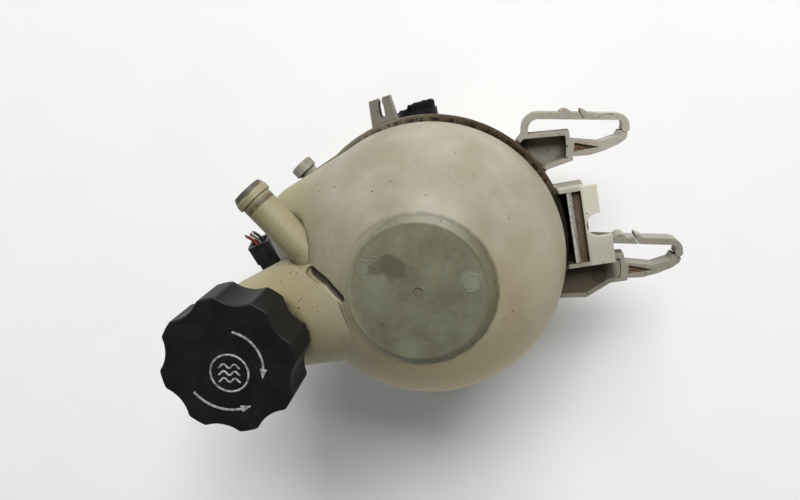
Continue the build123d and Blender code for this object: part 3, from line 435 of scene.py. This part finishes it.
# Black rubber that the return hose left on the tip of its spigot
pull = (math.cos(math.radians(123)), math.sin(math.radians(123)), 0)
spigot_end = (-159.82 * MM, 56.25 * MM, 59 * MM)
to_end = add(tree, "VectorMath", {0: place, 1: spigot_end}, operation="SUBTRACT").outputs[0]
along = add(tree, "VectorMath", {0: to_end, 1: pull}, operation="DOT_PRODUCT").outputs["Value"]
ragged = add(tree, "MapRange", {0: grime, 3: -2.2 * MM, 4: 1.4 * MM}).outputs[0]
along = add(tree, "Math", {0: along, 1: ragged}, operation="ADD").outputs[0]
end_near = add(tree, "VectorMath", {0: place, 1: spigot_end}, operation="DISTANCE").outputs["Value"]
rubber_mark = within((along, -3.6, -2.6), (end_near, 12, 11, 0, 0.85))
for share, shade in ((grain, "#1C1713"), (fine_grain, "#2A2118"), (rubber_mark, "#24231F")):
    colour = add(tree, "Mix", {0: share, 6: colour, 7: linear(shade)}, data_type="RGBA").outputs[2]
tree.links.new(colour, shader["Base Color"])

# Moulded skin: a soft ripple of 1.2 mm; and where the dirt and the painted shade lie, the surface
# stands a little proud, is matt and lets no light through
ripple = add(tree, "TexNoise", {"Vector": place, "Scale": 1 / (1.2 * MM), "Detail": 2.0}).outputs[0]
height = add(tree, "Math", {0: dirt_and_shade, 1: 1.5, 2: ripple}, operation="MULTIPLY_ADD").outputs[0]
bump = add(tree, "Bump", {"Height": height, "Strength": 0.22, "Distance": 0.25 * MM})
tree.links.new(bump.outputs[0], shader["Normal"])
gloss = add(tree, "MapRange", {0: dirt_and_shade, 3: 0.50, 4: 0.85}).outputs[0]
tree.links.new(gloss, shader["Roughness"])
soiled = add(tree, "Math", {0: dirt_and_shade, 1: crumb}, operation="MAXIMUM").outputs[0]
sheen = add(tree, "MapRange", {0: soiled, 3: 0.5, 4: 0.1}).outputs[0]
tree.links.new(sheen, shader["Specular IOR Level"])
through = add(tree, "MapRange", {0: soiled, 3: 0.25, 4: 0.0}).outputs[0]
tree.links.new(through, shader["Subsurface Weight"])
shader["IOR"].default_value = 1.49
shader["Subsurface Radius"].default_value = (1.0, 0.8, 0.5)
shader["Subsurface Scale"].default_value = 4 * MM
print("aged polypropylene nodes:", len(tree.nodes))

# %% [markdown]
# ## Black plastics and rubber
#
# The cap is glass-filled polyamide: satin black, with a fine spark-eroded grain, grey dust on its
# top and a paler rub along the edges that a hand meets. The sensor and its plug are the same kind
# of plastic under a thin brown film. The hose and the seals are EPDM rubber, dull, with chalky
# patches. The plainer of these are two colours mixed by one cloudy noise, which sets their gloss
# too, so one function makes them all.

# %% Satin black cap
cap_black, tree, shader, place = new_finish("satin_black_polyamide")
grain = add(tree, "TexNoise", {"Vector": place, "Scale": 1 / (0.5 * MM), "Detail": 2.0}).outputs[0]
dust = add(
    tree, "TexNoise", {"Vector": place, "Scale": 1 / (12 * MM), "Detail": 7.0, "Roughness": 0.7}
).outputs[0]
normal = add(tree, "NewGeometry").outputs["Normal"]
facing = add(tree, "SeparateXYZ", {0: normal}).outputs["Z"]
upward = add(tree, "MapRange", {0: facing, 1: 0.55, 2: 1.0}).outputs[0]
dust_share = add(tree, "MapRange", {0: dust, 1: 0.40, 2: 0.75, 4: 0.55}).outputs[0]
dusty = add(tree, "Math", {0: upward, 1: dust_share}, operation="MULTIPLY").outputs[0]
colour = add(
    tree, "Mix", {0: dusty, 6: linear("#0B0B0C"), 7: linear("#202020")}, data_type="RGBA"
).outputs[2]
rub = add(tree, "Bevel", {"Radius": 0.9 * MM}, samples=6).outputs[0]
turned_away = add(
    tree, "VectorMath", {0: rub, 1: normal}, operation="DOT_PRODUCT"
).outputs["Value"]
edge = add(tree, "MapRange", {0: turned_away, 1: 0.995, 2: 0.90, 4: 0.5}).outputs[0]
edge = add(tree, "Math", {0: edge, 1: dust}, operation="MULTIPLY").outputs[0]
colour = add(tree, "Mix", {0: edge, 6: colour, 7: linear("#5A5957")}, data_type="RGBA").outputs[2]
tree.links.new(colour, shader["Base Color"])
bump = add(tree, "Bump", {"Height": grain, "Strength": 0.18, "Distance": 0.12 * MM})
tree.links.new(bump.outputs[0], shader["Normal"])
gloss = add(tree, "MapRange", {0: dust, 3: 0.42, 4: 0.62}).outputs[0]
tree.links.new(gloss, shader["Roughness"])
shader["IOR"].default_value = 1.53
shader["Specular IOR Level"].default_value = 0.22
print("satin black polyamide nodes:", len(tree.nodes))

# %% Finishes that follow one cloudy noise
def cloudy(name, cloud, band, shades, gloss, sockets):
    """Finish that follows one noise, given by its size in mm, detail and roughness: the band of it
    that shows and how much, two colours, two levels of roughness, and settings of the shader."""
    finish, tree, shader, place = new_finish(name)
    size, detail, uneven = cloud
    noise = add(
        tree, "TexNoise",
        {"Vector": place, "Scale": 1 / (size * MM), "Detail": detail, "Roughness": uneven},
    ).outputs[0]
    share = add(tree, "MapRange", {0: noise, 1: band[0], 2: band[1], 4: band[2]}).outputs[0]
    colour = add(
        tree, "Mix", {0: share, 6: linear(shades[0]), 7: linear(shades[1])}, data_type="RGBA"
    ).outputs[2]
    tree.links.new(colour, shader["Base Color"])
    rough = add(tree, "MapRange", {0: noise, 3: gloss[0], 4: gloss[1]}).outputs[0]
    tree.links.new(rough, shader["Roughness"])
    for socket, value in sockets.items():
        shader[socket].default_value = value
    print(name, "nodes:", len(tree.nodes))
    return finish, tree, shader, place, noise


# %% Worn light grey of the cap's raised marks
worn_mark = cloudy(
    "worn_raised_polyamide", (2.5, 5.0, 0.7), (0.36, 0.58, 1.0), ("#4A4947", "#A6A49F"),
    (0.45, 0.7), {"IOR": 1.53},
)[0]

# %% Black sensor plastic
sensor_black, tree, shader, place = cloudy(
    "moulded_black_polyamide", (6, 5.0, 0.5), (0.45, 0.75, 0.6), ("#0E0E0F", "#24211E"),
    (0.36, 0.6), {"IOR": 1.53},
)[:4]
grain = add(tree, "TexNoise", {"Vector": place, "Scale": 1 / (0.6 * MM), "Detail": 2.0}).outputs[0]
bump = add(tree, "Bump", {"Height": grain, "Strength": 0.2, "Distance": 0.1 * MM})
tree.links.new(bump.outputs[0], shader["Normal"])

# %% Rubber of the hose stub and the seals
rubber, tree, shader, place = cloudy(
    "epdm_rubber", (4, 8.0, 0.75), (0.5, 0.8, 0.7), ("#070706", "#1B1A18"),
    (0.55, 0.9), {"IOR": 1.5, "Specular IOR Level": 0.12},
)[:4]
pores = add(tree, "TexVoronoi", {"Vector": place, "Scale": 1 / (0.9 * MM)}).outputs["Distance"]
bump = add(tree, "Bump", {"Height": pores, "Strength": 0.25, "Distance": 0.2 * MM})
tree.links.new(bump.outputs[0], shader["Normal"])

# %% [markdown]
# ## Metals and wires
#
# The clamp is a black coated steel band with spots of rust, the electrodes and springs are drawn
# stainless wire, and the valves are turned brass. The cut wires keep the colours of their
# insulation, and a few bare copper strands stick out of each.

# %% Black coated clamp steel
coated_steel, tree, shader, place = new_finish("black_coated_steel")
rust = add(
    tree, "TexNoise", {"Vector": place, "Scale": 1 / (2.2 * MM), "Detail": 7.0, "Roughness": 0.7}
).outputs[0]
rusty = add(tree, "MapRange", {0: rust, 1: 0.56, 2: 0.68}).outputs[0]
colour = add(
    tree, "Mix", {0: rusty, 6: linear("#0B0B0C"), 7: linear("#2B1C13")}, data_type="RGBA"
).outputs[2]
tree.links.new(colour, shader["Base Color"])
gloss = add(tree, "MapRange", {0: rusty, 3: 0.55, 4: 0.9}).outputs[0]
tree.links.new(gloss, shader["Roughness"])
bump = add(tree, "Bump", {"Height": rusty, "Strength": 0.3, "Distance": 0.1 * MM})
tree.links.new(bump.outputs[0], shader["Normal"])
shader["Specular IOR Level"].default_value = 0.2
print("coated steel nodes:", len(tree.nodes))

# %% Drawn steel, turned brass and copper strand
metals = {}
for name, light, dark, size in (
    ("drawn_stainless_steel", "#C9C9C7", "#9A9A98", 0.8),
    ("turned_brass", "#C7A35A", "#8E7038", 1.2),
    ("copper_strand", "#C98A63", "#8A5638", 0.5),
):
    metals[name] = cloudy(
        name, (size, 5.0, 0.5), (0.40, 0.70, 1.0), (light, dark), (0.22, 0.5), {"Metallic": 1.0}
    )[0]

# %% PVC insulation of the three wires
insulation = {}
for name, clean, soiled in (
    ("red", "#9C2A2C", "#4E1B1A"), ("grey", "#7B7A70", "#43413A"), ("dark", "#1D1C1A", "#35302A")
):
    insulation[name] = cloudy(
        "pvc_insulation_" + name, (1.6, 5.0, 0.5), (0.42, 0.68, 1.0), (clean, soiled),
        (0.32, 0.6), {"IOR": 1.53},
    )[0]

# %% Give the CAD nodes their finishes
steel = metals["drawn_stainless_steel"]
finishes = {
    "upper_shell": polypropylene, "filler_tunnel": polypropylene, "filler_neck": polypropylene,
    "return_spigot": polypropylene, "lower_shell": polypropylene,
    "upper_clip_strap": polypropylene, "lower_clip_strap": polypropylene,
    "outlet_hose_stub": rubber, "outlet_hose_clamp": coated_steel,
    "level_sensor": sensor_black, "sensor_seal": rubber, "sensor_plug": sensor_black,
    "sensor_electrode_left": steel, "sensor_electrode_right": steel,
    "plug_wire_red": insulation["red"], "plug_wire_grey": insulation["grey"],
    "plug_wire_dark": insulation["dark"],
    "cap_knob": cap_black, "cap_cartridge": sensor_black, "cap_seal_ring": rubber,
    "valve_seat_plate": steel, "pressure_valve": metals["turned_brass"],
    "pressure_valve_seal": rubber, "pressure_spring": steel,
    "vacuum_valve": metals["turned_brass"], "vacuum_spring": steel,
}
for name, finish in finishes.items():
    nodes[name].data.materials.clear()
    nodes[name].data.materials.append(finish)
print("finished CAD nodes:", len(finishes), "of", len(nodes))

# %% [markdown]
# ## Working on pieces
#
# Every new piece below is modelled as by hand: a primitive is added at its place, shaped in edit
# mode and finished with modifiers. A few small helpers do what a hand does between the steps: pick
# parts of the mesh by their place, move them by a rule, apply a modifier, join pieces, and settle
# a finished piece on its body.

# %% Modelling helpers
def only(piece):
    """Make a piece the only selected and active object."""
    bpy.ops.object.select_all(action="DESELECT")
    piece.select_set(True)
    bpy.context.view_layer.objects.active = piece
    return piece


def pick(test):
    """In edit mode, select just the vertices whose place passes a test."""
    bpy.ops.mesh.select_mode(type="VERT")
    bpy.ops.mesh.select_all(action="DESELECT")
    mesh = bmesh.from_edit_mesh(bpy.context.object.data)
    for vertex in mesh.verts:
        vertex.select = bool(test(vertex.co))
    mesh.select_flush(True)
    mesh.select_flush(False)
    bmesh.update_edit_mesh(bpy.context.object.data)
    return sum(v.select for v in mesh.verts)


def reshape(rule):
    """In edit mode, move every vertex to the place that a rule gives for it."""
    mesh = bmesh.from_edit_mesh(bpy.context.object.data)
    for vertex in mesh.verts:
        vertex.co = rule(vertex.co)
    bmesh.update_edit_mesh(bpy.context.object.data)


def freeze():
    """Put the place, turn and scale of the active piece into its mesh."""
    bpy.ops.object.transform_apply(location=True, rotation=True, scale=True)


def apply_modifier(piece, kind, **settings):
    """Add a modifier to a piece, set it and apply it."""
    modifier = only(piece).modifiers.new(kind.lower(), kind)
    for name, value in settings.items():
        setattr(modifier, name, value)
    bpy.ops.object.modifier_apply(modifier=modifier.name)


def wind(piece, turns, rise, rounds, steps):
    """Wind a section about its own upright axis with the Screw modifier."""
    apply_modifier(
        piece, "SCREW", axis="Z", angle=2 * math.pi * turns, screw_offset=rise, iterations=rounds,
        steps=steps, render_steps=steps, use_merge_vertices=False,
    )


def settle(piece, name, body, finish, angle=40):
    """Put a piece's place into its mesh, close and shade it, and let it ride on its body."""
    only(piece).name = name
    piece.data.name = name
    freeze()
    bpy.ops.object.mode_set(mode="EDIT")
    bpy.ops.mesh.select_all(action="SELECT")
    bpy.ops.mesh.remove_doubles(threshold=0.002 * MM)
    bpy.ops.mesh.normals_make_consistent(inside=False)
    bpy.ops.object.mode_set(mode="OBJECT")
    bpy.ops.object.shade_smooth_by_angle(angle=math.radians(angle))
    piece.data.materials.clear()
    piece.data.materials.append(finish)
    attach(piece, body)
    mesh = bmesh.new()
    mesh.from_mesh(piece.data)
    loose = sum(not e.is_manifold for e in mesh.edges)
    mesh.free()
    print(name, "faces:", len(piece.data.polygons), "open edges:", loose)
    return piece


def joined(pieces):
    """Join pieces into the first one."""
    only(pieces[0])
    for piece in pieces:
        piece.select_set(True)
    bpy.ops.object.join()
    return bpy.context.object


# %% [markdown]
# ## Thread on the filler neck
#
# The cap screws down on a coarse thread of 4.5 mm pitch, hidden until the cap is lifted. A thread
# can be spun in edit mode, but the Screw modifier keeps the pitch exact: one flank profile, two
# turns about the neck's axis, then the ends are pulled in so the cap can start on them.

# %% Neck thread
CAP_X = -170.82 * MM
CAP_Y = -15.80 * MM
MOUTH_Z = 100.98 * MM
NECK_R = 24 * MM
THREAD_DOWN = 14.5 * MM  # start of the thread below the mouth
PITCH = 4.5 * MM
TURNS = 2
FLANK_MIDDLE = NECK_R + 0.45 * MM
FLANK_DEPTH = 1.7 * MM
FLANK_HEIGHT = 2.6 * MM
CREST_SHARE = 0.42  # height of the crest, as a share of the flank's
END_PULL = 1.15 * MM


def on_crest(p):
    """Whether a point of the thread lies on its crest."""
    return p.x > NECK_R + 0.5 * MM


bpy.ops.mesh.primitive_plane_add(size=1, location=(CAP_X, CAP_Y, MOUTH_Z - THREAD_DOWN))
thread = bpy.context.object
bpy.ops.object.mode_set(mode="EDIT")
bpy.ops.mesh.select_all(action="SELECT")
reshape(lambda p: (FLANK_MIDDLE + p.x * FLANK_DEPTH, 0, p.y * FLANK_HEIGHT))
pick(on_crest)
bpy.ops.transform.resize(value=(1, 1, CREST_SHARE))
bpy.ops.object.mode_set(mode="OBJECT")
wind(thread, 1, PITCH, TURNS, 72)
bpy.ops.object.mode_set(mode="EDIT")
pick(lambda p: on_crest(p) and abs(p.y) < 0.01 * MM
     and any(abs(p.z - end) < 1.0 * MM for end in (0, TURNS * PITCH)))
bpy.ops.transform.translate(value=(-END_PULL, 0, 0))
bpy.ops.mesh.select_all(action="SELECT")
bpy.ops.mesh.fill_holes(sides=4)
bpy.ops.object.mode_set(mode="OBJECT")
settle(thread, "neck_thread", "tank", polypropylene, 30)

# %% [markdown]
# ## Marks on the cap
#
# Two raised arrows show which way the cap is turned shut and open. Each is a small bar, spun round
# the cap's axis, with a three-cornered head at its end. A plain ring with three waves stands in
# the middle, as on many caps for liquids. All stand half a millimetre proud and are worn pale.

# %% Turn arrows
CAP_TOP = 106.48 * MM
SINK = 0.15 * MM
MARK_H = 0.6 * MM
BAR_W = 1.0 * MM
HEAD_R = 2.6 * MM
HEAD_AHEAD = 1.5 * MM


def round_cap(radius, angle, height):
    """Point at a radius and an angle round the cap's axis."""
    return (CAP_X + radius * math.cos(angle), CAP_Y + radius * math.sin(angle), height)


def turn_arrow(radius, first, last):
    """Bar bent round the cap's axis from one angle to another, with a head at its end."""
    start = math.radians(first)
    sweep = math.radians(last - first)
    foot = CAP_TOP - SINK
    bpy.ops.mesh.primitive_plane_add(size=1)
    bar = bpy.context.object
    bpy.ops.object.mode_set(mode="EDIT")
    reshape(lambda p: round_cap(radius + p.x * BAR_W, start, foot + (p.y + 0.5) * MARK_H))
    bpy.ops.mesh.select_all(action="SELECT")
    bpy.ops.mesh.spin(steps=30, angle=-sweep, center=(CAP_X, CAP_Y, CAP_TOP), axis=(0, 0, 1))
    bpy.ops.object.mode_set(mode="OBJECT")
    tip = math.radians(last) + math.copysign(HEAD_AHEAD / radius, sweep)
    spot = round_cap(radius, tip, foot + MARK_H / 2)
    bpy.ops.mesh.primitive_cylinder_add(vertices=3, radius=HEAD_R, depth=MARK_H, location=spot)
    head = bpy.context.object
    head.scale = (0.75, 1.25, 1)
    head.rotation_euler.z = tip if sweep > 0 else tip + math.pi
    freeze()
    return [bar, head]


arrows = joined(turn_arrow(17.0 * MM, 68, -13) + turn_arrow(21.4 * MM, 208, 275))
apply_modifier(arrows, "BEVEL", width=0.12 * MM, segments=2, limit_method="ANGLE")
settle(arrows, "cap_turn_arrows", "cap", worn_mark)

# %% Ring with three waves
SIGN = Vector((-170.6 * MM, -19.2 * MM, CAP_TOP))
WAVE_APART = 3.4
WAVE_STEP = 2.6 * MM
WAVE_SWING = 0.9
WAVE_HANDLE = 1.2 * MM
bpy.ops.mesh.primitive_torus_add(
    location=SIGN, major_radius=9.0 * MM, minor_radius=0.5 * MM, major_segments=72, minor_segments=8
)
sign_pieces = [bpy.context.object]
for lift in (-WAVE_APART, 0, WAVE_APART):
    bpy.ops.curve.primitive_bezier_curve_add(location=SIGN)
    wave = bpy.context.object
    spline = wave.data.splines[0]
    spline.bezier_points.add(3)
    for step, point in enumerate(spline.bezier_points):
        swing = WAVE_SWING if step % 2 else -WAVE_SWING
        point.co = ((step - 2) * WAVE_STEP, (lift + swing) * MM, 0)
        point.handle_left = (point.co.x - WAVE_HANDLE, point.co.y, 0)
        point.handle_right = (point.co.x + WAVE_HANDLE, point.co.y, 0)
    wave.data.bevel_depth = 0.45 * MM
    wave.data.bevel_resolution = 2
    wave.data.use_fill_caps = True
    wave.rotation_euler.z = TURN
    bpy.ops.object.convert(target="MESH")
    freeze()
    sign_pieces.append(bpy.context.object)
settle(joined(sign_pieces), "cap_wave_sign", "cap", worn_mark)

# %% [markdown]
# ## Springs in the cap
#
# Two coil springs press the cap's valves shut.

# %% Valve springs
WIRE_SIDES = 12


def coil_spring(node, wire, turns):
    """Round wire wound between the seats of a CAD spring, with ends ground flat."""
    low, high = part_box(node)
    reach = (high.x - low.x) / 2 - wire
    middle = (low + high) / 2
    rise = high.z - low.z
    foot = (middle.x, middle.y, low.z)
    bpy.ops.mesh.primitive_circle_add(vertices=WIRE_SIDES, radius=wire, location=foot)
    spring = bpy.context.object
    bpy.ops.object.mode_set(mode="EDIT")
    reshape(lambda p: (reach + p.x, 0, p.y))
    bpy.ops.object.mode_set(mode="OBJECT")
    wind(spring, turns, rise, 1, round(36 * turns))
    bpy.ops.object.mode_set(mode="EDIT")
    bpy.ops.mesh.select_all(action="SELECT")
    bpy.ops.mesh.fill_holes(sides=WIRE_SIDES)
    reshape(lambda p: (p.x, p.y, min(max(p.z, 0), rise)))
    bpy.ops.object.mode_set(mode="OBJECT")
    return spring, low, high


pressure_coil, seat, roof = coil_spring("pressure_spring", 0.6 * MM, 3.5)
settle(pressure_coil, "pressure_coil", "cap_insert", steel, 60)
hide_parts("pressure_spring")
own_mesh(pressure_coil)
vacuum_coil, seat, head = coil_spring("vacuum_spring", 0.25 * MM, 3.0)
settle(vacuum_coil, "vacuum_coil", "pressure_disc", steel, 60)
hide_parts("vacuum_spring")
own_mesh(vacuum_coil)

# %% [markdown]
# ## Torn hose on the outlet
#
# Whoever took the tank out cut the outlet hose close to its clamp, and not cleanly: the end is
# slanted, nicked on one side and frayed. The CAD solid is a plain tube, so this piece stands for
# it: a circle is extruded along the hose, folded in over the rim and back down the bore, and
# bridged shut.

# %% Hose stub
HOSE_WALL = 4 * MM
RIM_ROOM = 0.8 * MM  # left for the frayed rim
RIM_STEPS = (0.93, 0.80, 0.68)  # from the outside to the bore
FRAY = 0.9 * MM
NICK = 3.0 * MM
TONGUE = 0.6 * MM  # how far the other side stands out
NEAR = 0.01 * MM
hose_low, hose_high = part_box("outlet_hose_stub")
hose_r = (hose_high.x - hose_low.x) / 2
hose_x = (hose_high.x + hose_low.x) / 2
hose_z = (hose_high.z + hose_low.z) / 2
bore_r = hose_r - HOSE_WALL
root = hose_low.y
length = hose_high.y - root - RIM_ROOM
end = root + length
bpy.ops.mesh.primitive_circle_add(
    vertices=80, radius=hose_r, location=(hose_x, root, hose_z), rotation=(math.pi / 2, 0, 0)
)
hose = bpy.context.object
freeze()
bpy.ops.object.mode_set(mode="EDIT")
bpy.ops.mesh.select_all(action="SELECT")
for step in range(6):
    bpy.ops.mesh.extrude_edges_move(TRANSFORM_OT_translate={"value": (0, length / 6, 0)})
for share in RIM_STEPS:
    bpy.ops.mesh.extrude_edges_move()
    rim = [v.co for v in bmesh.from_edit_mesh(hose.data).verts if v.select]
    now = max(math.hypot(p.x - hose_x, p.z - hose_z) for p in rim)
    want = bore_r + (hose_r - bore_r) * (share - RIM_STEPS[-1]) / (1 - RIM_STEPS[-1])
    bpy.ops.transform.resize(
        value=(want / now, 1, want / now), center_override=(hose_x, end, hose_z)
    )
for step in range(3):
    bpy.ops.mesh.extrude_edges_move(TRANSFORM_OT_translate={"value": (0, -length / 3, 0)})
pick(lambda p: p.y < root + NEAR)
bpy.ops.mesh.select_mode(type="EDGE")
bpy.ops.mesh.bridge_edge_loops()
print("rim points:", pick(lambda p: p.y > end - NEAR))
bpy.ops.transform.vertex_random(offset=FRAY, seed=5)
print("nick points:", pick(lambda p: p.y > end - 2.5 * MM and p.x < hose_x - 0.42 * hose_r))
bpy.ops.transform.translate(value=(0, -NICK, 0))
pick(lambda p: p.y > end - NICK and p.x > hose_x + 0.2 * hose_r)
bpy.ops.transform.translate(value=(0, TONGUE, 0))
bpy.ops.object.mode_set(mode="OBJECT")
apply_modifier(hose, "SUBSURF", levels=1, render_levels=1)
settle(hose, "outlet_hose", "tank", rubber, 50)
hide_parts("outlet_hose_stub")

# %% [markdown]
# ## Copper strands in the cut wires
#
# Each wire was snipped, and a few bright strands stand out of its insulation. The end face of each
# CAD wire gives the place and the direction, and six thin strands of uneven length are set on it.

# %% Wire ends
STRAND_R = 0.15 * MM
STRAND_RING = 0.34 * MM  # radius of the ring of five strands round the middle one
STRAND_BEND = 0.10 * MM
ROUND = 5
plug_low, plug_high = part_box("sensor_plug")
plug_middle = (plug_low + plug_high) / 2
strands = []
for name in ("plug_wire_red", "plug_wire_grey", "plug_wire_dark"):
    mesh = nodes[name].data
    far = max((v.co - plug_middle).length for v in mesh.vertices)
    rim = [v.co.copy() for v in mesh.vertices if (v.co - plug_middle).length > far - 1.2 * MM]
    middle = sum(rim, Vector()) / len(rim)
    out = max(mesh.polygons, key=lambda f: (f.center - plug_middle).length).normal.copy()
    side = out.orthogonal().normalized()
    for turn in range(ROUND + 1):
        angle = 2 * math.pi * turn / ROUND
        offset = Vector()
        if turn < ROUND:
            offset = STRAND_RING * (side * math.cos(angle) + out.cross(side) * math.sin(angle))
        reach = (1.5 + 0.25 * ((turn * 3) % 4)) * MM
        bpy.ops.mesh.primitive_cylinder_add(vertices=7, radius=STRAND_R, depth=reach)
        strand = bpy.context.object
        bpy.ops.object.mode_set(mode="EDIT")
        pick(lambda p: p.z > 0)
        bpy.ops.transform.resize(value=(0.8, 0.8, 1))
        bend = (STRAND_BEND * math.cos(angle), STRAND_BEND * math.sin(angle), 0)
        bpy.ops.transform.translate(value=bend)
        bpy.ops.object.mode_set(mode="OBJECT")
        strand.rotation_mode = "QUATERNION"
        strand.rotation_quaternion = out.to_track_quat("Z", "Y")
        strand.location = middle + offset + out * reach * 0.25
        freeze()
        strands.append(strand)
settle(joined(strands), "wire_strands", "tank", metals["copper_strand"])

# %% [markdown]
# ## Moulding and welding marks
#
# Where the two shells were welded, a bead of plastic was pressed out between the flanges. Ejector
# pins left faint rings on the disc, and the pocket's inner wall tore along its edge when the
# bracket was pulled out. They are small, but they are what makes the tank a moulding.

# %% Weld bead at the seam
bpy.ops.mesh.primitive_torus_add(
    location=(BALL_X, 0, SEAM_Z), major_radius=73.9 * MM, minor_radius=0.65 * MM,
    major_segments=240, minor_segments=8,
)
bead = bpy.context.object
bpy.ops.object.mode_set(mode="EDIT")
bpy.ops.mesh.select_all(action="SELECT")
bpy.ops.transform.vertex_random(offset=0.22 * MM, seed=11)
bpy.ops.object.mode_set(mode="OBJECT")
apply_modifier(bead, "SUBSURF", levels=1, render_levels=1)
settle(bead, "seam_weld_bead", "tank", polypropylene, 60)

# %% Ejector rings
DISC_TOP = 87.28 * MM
RINGS = ((-104.2, 15.7, 3.2), (-98.0, 17.2, 2.4), (-56.2, 0.6, 4.2))  # X, Y and radius in mm
rings = []
for x, y, radius in RINGS:
    bpy.ops.mesh.primitive_torus_add(
        location=(x * MM, y * MM, DISC_TOP), major_radius=radius * MM, minor_radius=0.3 * MM,
        major_segments=56, minor_segments=8,
    )
    bpy.ops.object.mode_set(mode="EDIT")
    bpy.ops.mesh.select_all(action="SELECT")
    bpy.ops.transform.resize(value=(1, 1, 0.6))
    bpy.ops.object.mode_set(mode="OBJECT")
    freeze()
    rings.append(bpy.context.object)
settle(joined(rings), "ejector_rings", "tank", polypropylene, 60)

# %% Torn edge of the pocket
TORN_AT = (-3.6 * MM, 0, 11.0 * MM)
TORN_SIZE = (2.3 * MM, 38.8 * MM, 0.7 * MM)
bpy.ops.mesh.primitive_cube_add(size=1, location=TORN_AT)
torn = bpy.context.object
torn.scale = TORN_SIZE
freeze()
bpy.ops.object.mode_set(mode="EDIT")
bpy.ops.mesh.select_all(action="SELECT")
for cuts in (7, 5):
    bpy.ops.mesh.subdivide(number_cuts=cuts)
bpy.ops.transform.vertex_random(offset=0.35 * MM, seed=3)
bpy.ops.object.mode_set(mode="OBJECT")
settle(torn, "pocket_torn_edge", "tank", polypropylene, 25)

# %% [markdown]
# ## Dirt in the clips' arms
#
# Each clip's arm has a slim three-cornered recess, and years of spray have filled it nearly to the
# rim with brown dirt. One lump is cut from a triangle, pulled up and roughened, and then copied, as
# the second arm has the same recess.

# %% Caked road dirt
road_dirt, tree, shader, place, crumbs = cloudy(
    "caked_road_dirt", (1.1, 8.0, 0.75), (0.36, 0.64, 1.0), ("#2B1F15", "#7C6046"),
    (0.85, 1.0), {},
)
bump = add(tree, "Bump", {"Height": crumbs, "Strength": 0.6, "Distance": 0.4 * MM})
tree.links.new(bump.outputs[0], shader["Normal"])

# %% Lumps in the recesses
RECESS = ((-26.2, -7.5), (-12.6, -9.85), (-26.2, -12.95))  # corners from the hinge, in mm
HINGES = ((30.45, 47.16), (50.16, -24.35))
LUMP_FOOT = -5.1 * MM
LUMP_H = 7.4 * MM
bpy.ops.mesh.primitive_circle_add(vertices=3, fill_type="NGON")
lumps = [bpy.context.object]
bpy.ops.object.mode_set(mode="EDIT")
corners = iter(RECESS)
reshape(lambda p: Vector(next(corners)).to_3d() * MM)
bpy.ops.mesh.select_all(action="SELECT")
bpy.ops.mesh.subdivide(number_cuts=9)
bpy.ops.mesh.extrude_region_move(TRANSFORM_OT_translate={"value": (0, 0, LUMP_H)})
bpy.ops.transform.vertex_random(offset=0.45 * MM, seed=7)
bpy.ops.object.mode_set(mode="OBJECT")
bpy.ops.object.duplicate()
lumps.append(bpy.context.object)
for lump, (hinge_x, hinge_y) in zip(lumps, HINGES):
    only(lump).rotation_euler.z = TURN
    lump.location = (hinge_x * MM, hinge_y * MM, LUMP_FOOT)
    freeze()
settle(joined(lumps), "clip_arm_dirt", "tank", road_dirt, 30)

# %% [markdown]
# ## Table and light
#
# The photograph was taken on a white table, with a large window well behind the tank: the shadow
# falls towards the viewer, and the table is evenly bright. One wide lamp far off does that. The
# rest comes from the walls of a room, so the world is pale near the horizon and dark overhead. The
# table is matt and near white, with a little dust.

# %% Table
floor_z = cad_box[0].z - 0.2 * MM
bpy.ops.mesh.primitive_plane_add(size=6, location=(0, 0, floor_z))
table = bpy.context.object
table.name = "table"
table_white, tree, shader, place = new_finish("matt_white_table")
dust = add(tree, "TexNoise", {"Vector": place, "Scale": 1 / (60 * MM), "Detail": 5.0}).outputs[0]
colour = add(
    tree, "Mix", {0: dust, 6: linear("#F1F1F0"), 7: linear("#F6F6F6")}, data_type="RGBA"
).outputs[2]
tree.links.new(colour, shader["Base Color"])
shader["Roughness"].default_value = 0.55
table.data.materials.append(table_white)
print("table height:", round(floor_z, 4), "m")

# %% Lamp and world
LAMP_AT = Vector((0.968, 2.879, 2.591))
LAMP_AIM = Vector((-0.08, 0, 0.02))
LAMP_SIZE = 2.3
LAMP_POWER = 224.0
lamp = bpy.data.objects.new("window_light", bpy.data.lights.new("window_light", "AREA"))
bpy.context.scene.collection.objects.link(lamp)
lamp.data.size = LAMP_SIZE
lamp.data.energy = LAMP_POWER
lamp.location = LAMP_AT
lamp.rotation_euler = (LAMP_AIM - LAMP_AT).to_track_quat("-Z", "Y").to_euler()
world = bpy.data.worlds.new("studio")
bpy.context.scene.world = world
world.use_nodes = True
tree = world.node_tree
backdrop = tree.nodes["Background"].inputs
backdrop["Color"].default_value = linear("#F4F6F8")
up = add(tree, "SeparateXYZ", {0: add(tree, "TexCoord").outputs["Generated"]}).outputs["Z"]
room = add(
    tree, "MapRange", {0: up, 1: 0.40, 2: 0.75, 3: 0.50, 4: 0.08}, interpolation_type="SMOOTHSTEP"
)
tree.links.new(room.outputs[0], backdrop["Strength"])

# %% Print the CAD box
print("CAD box:", [[round(v, 4) for v in c] for c in cad_box])
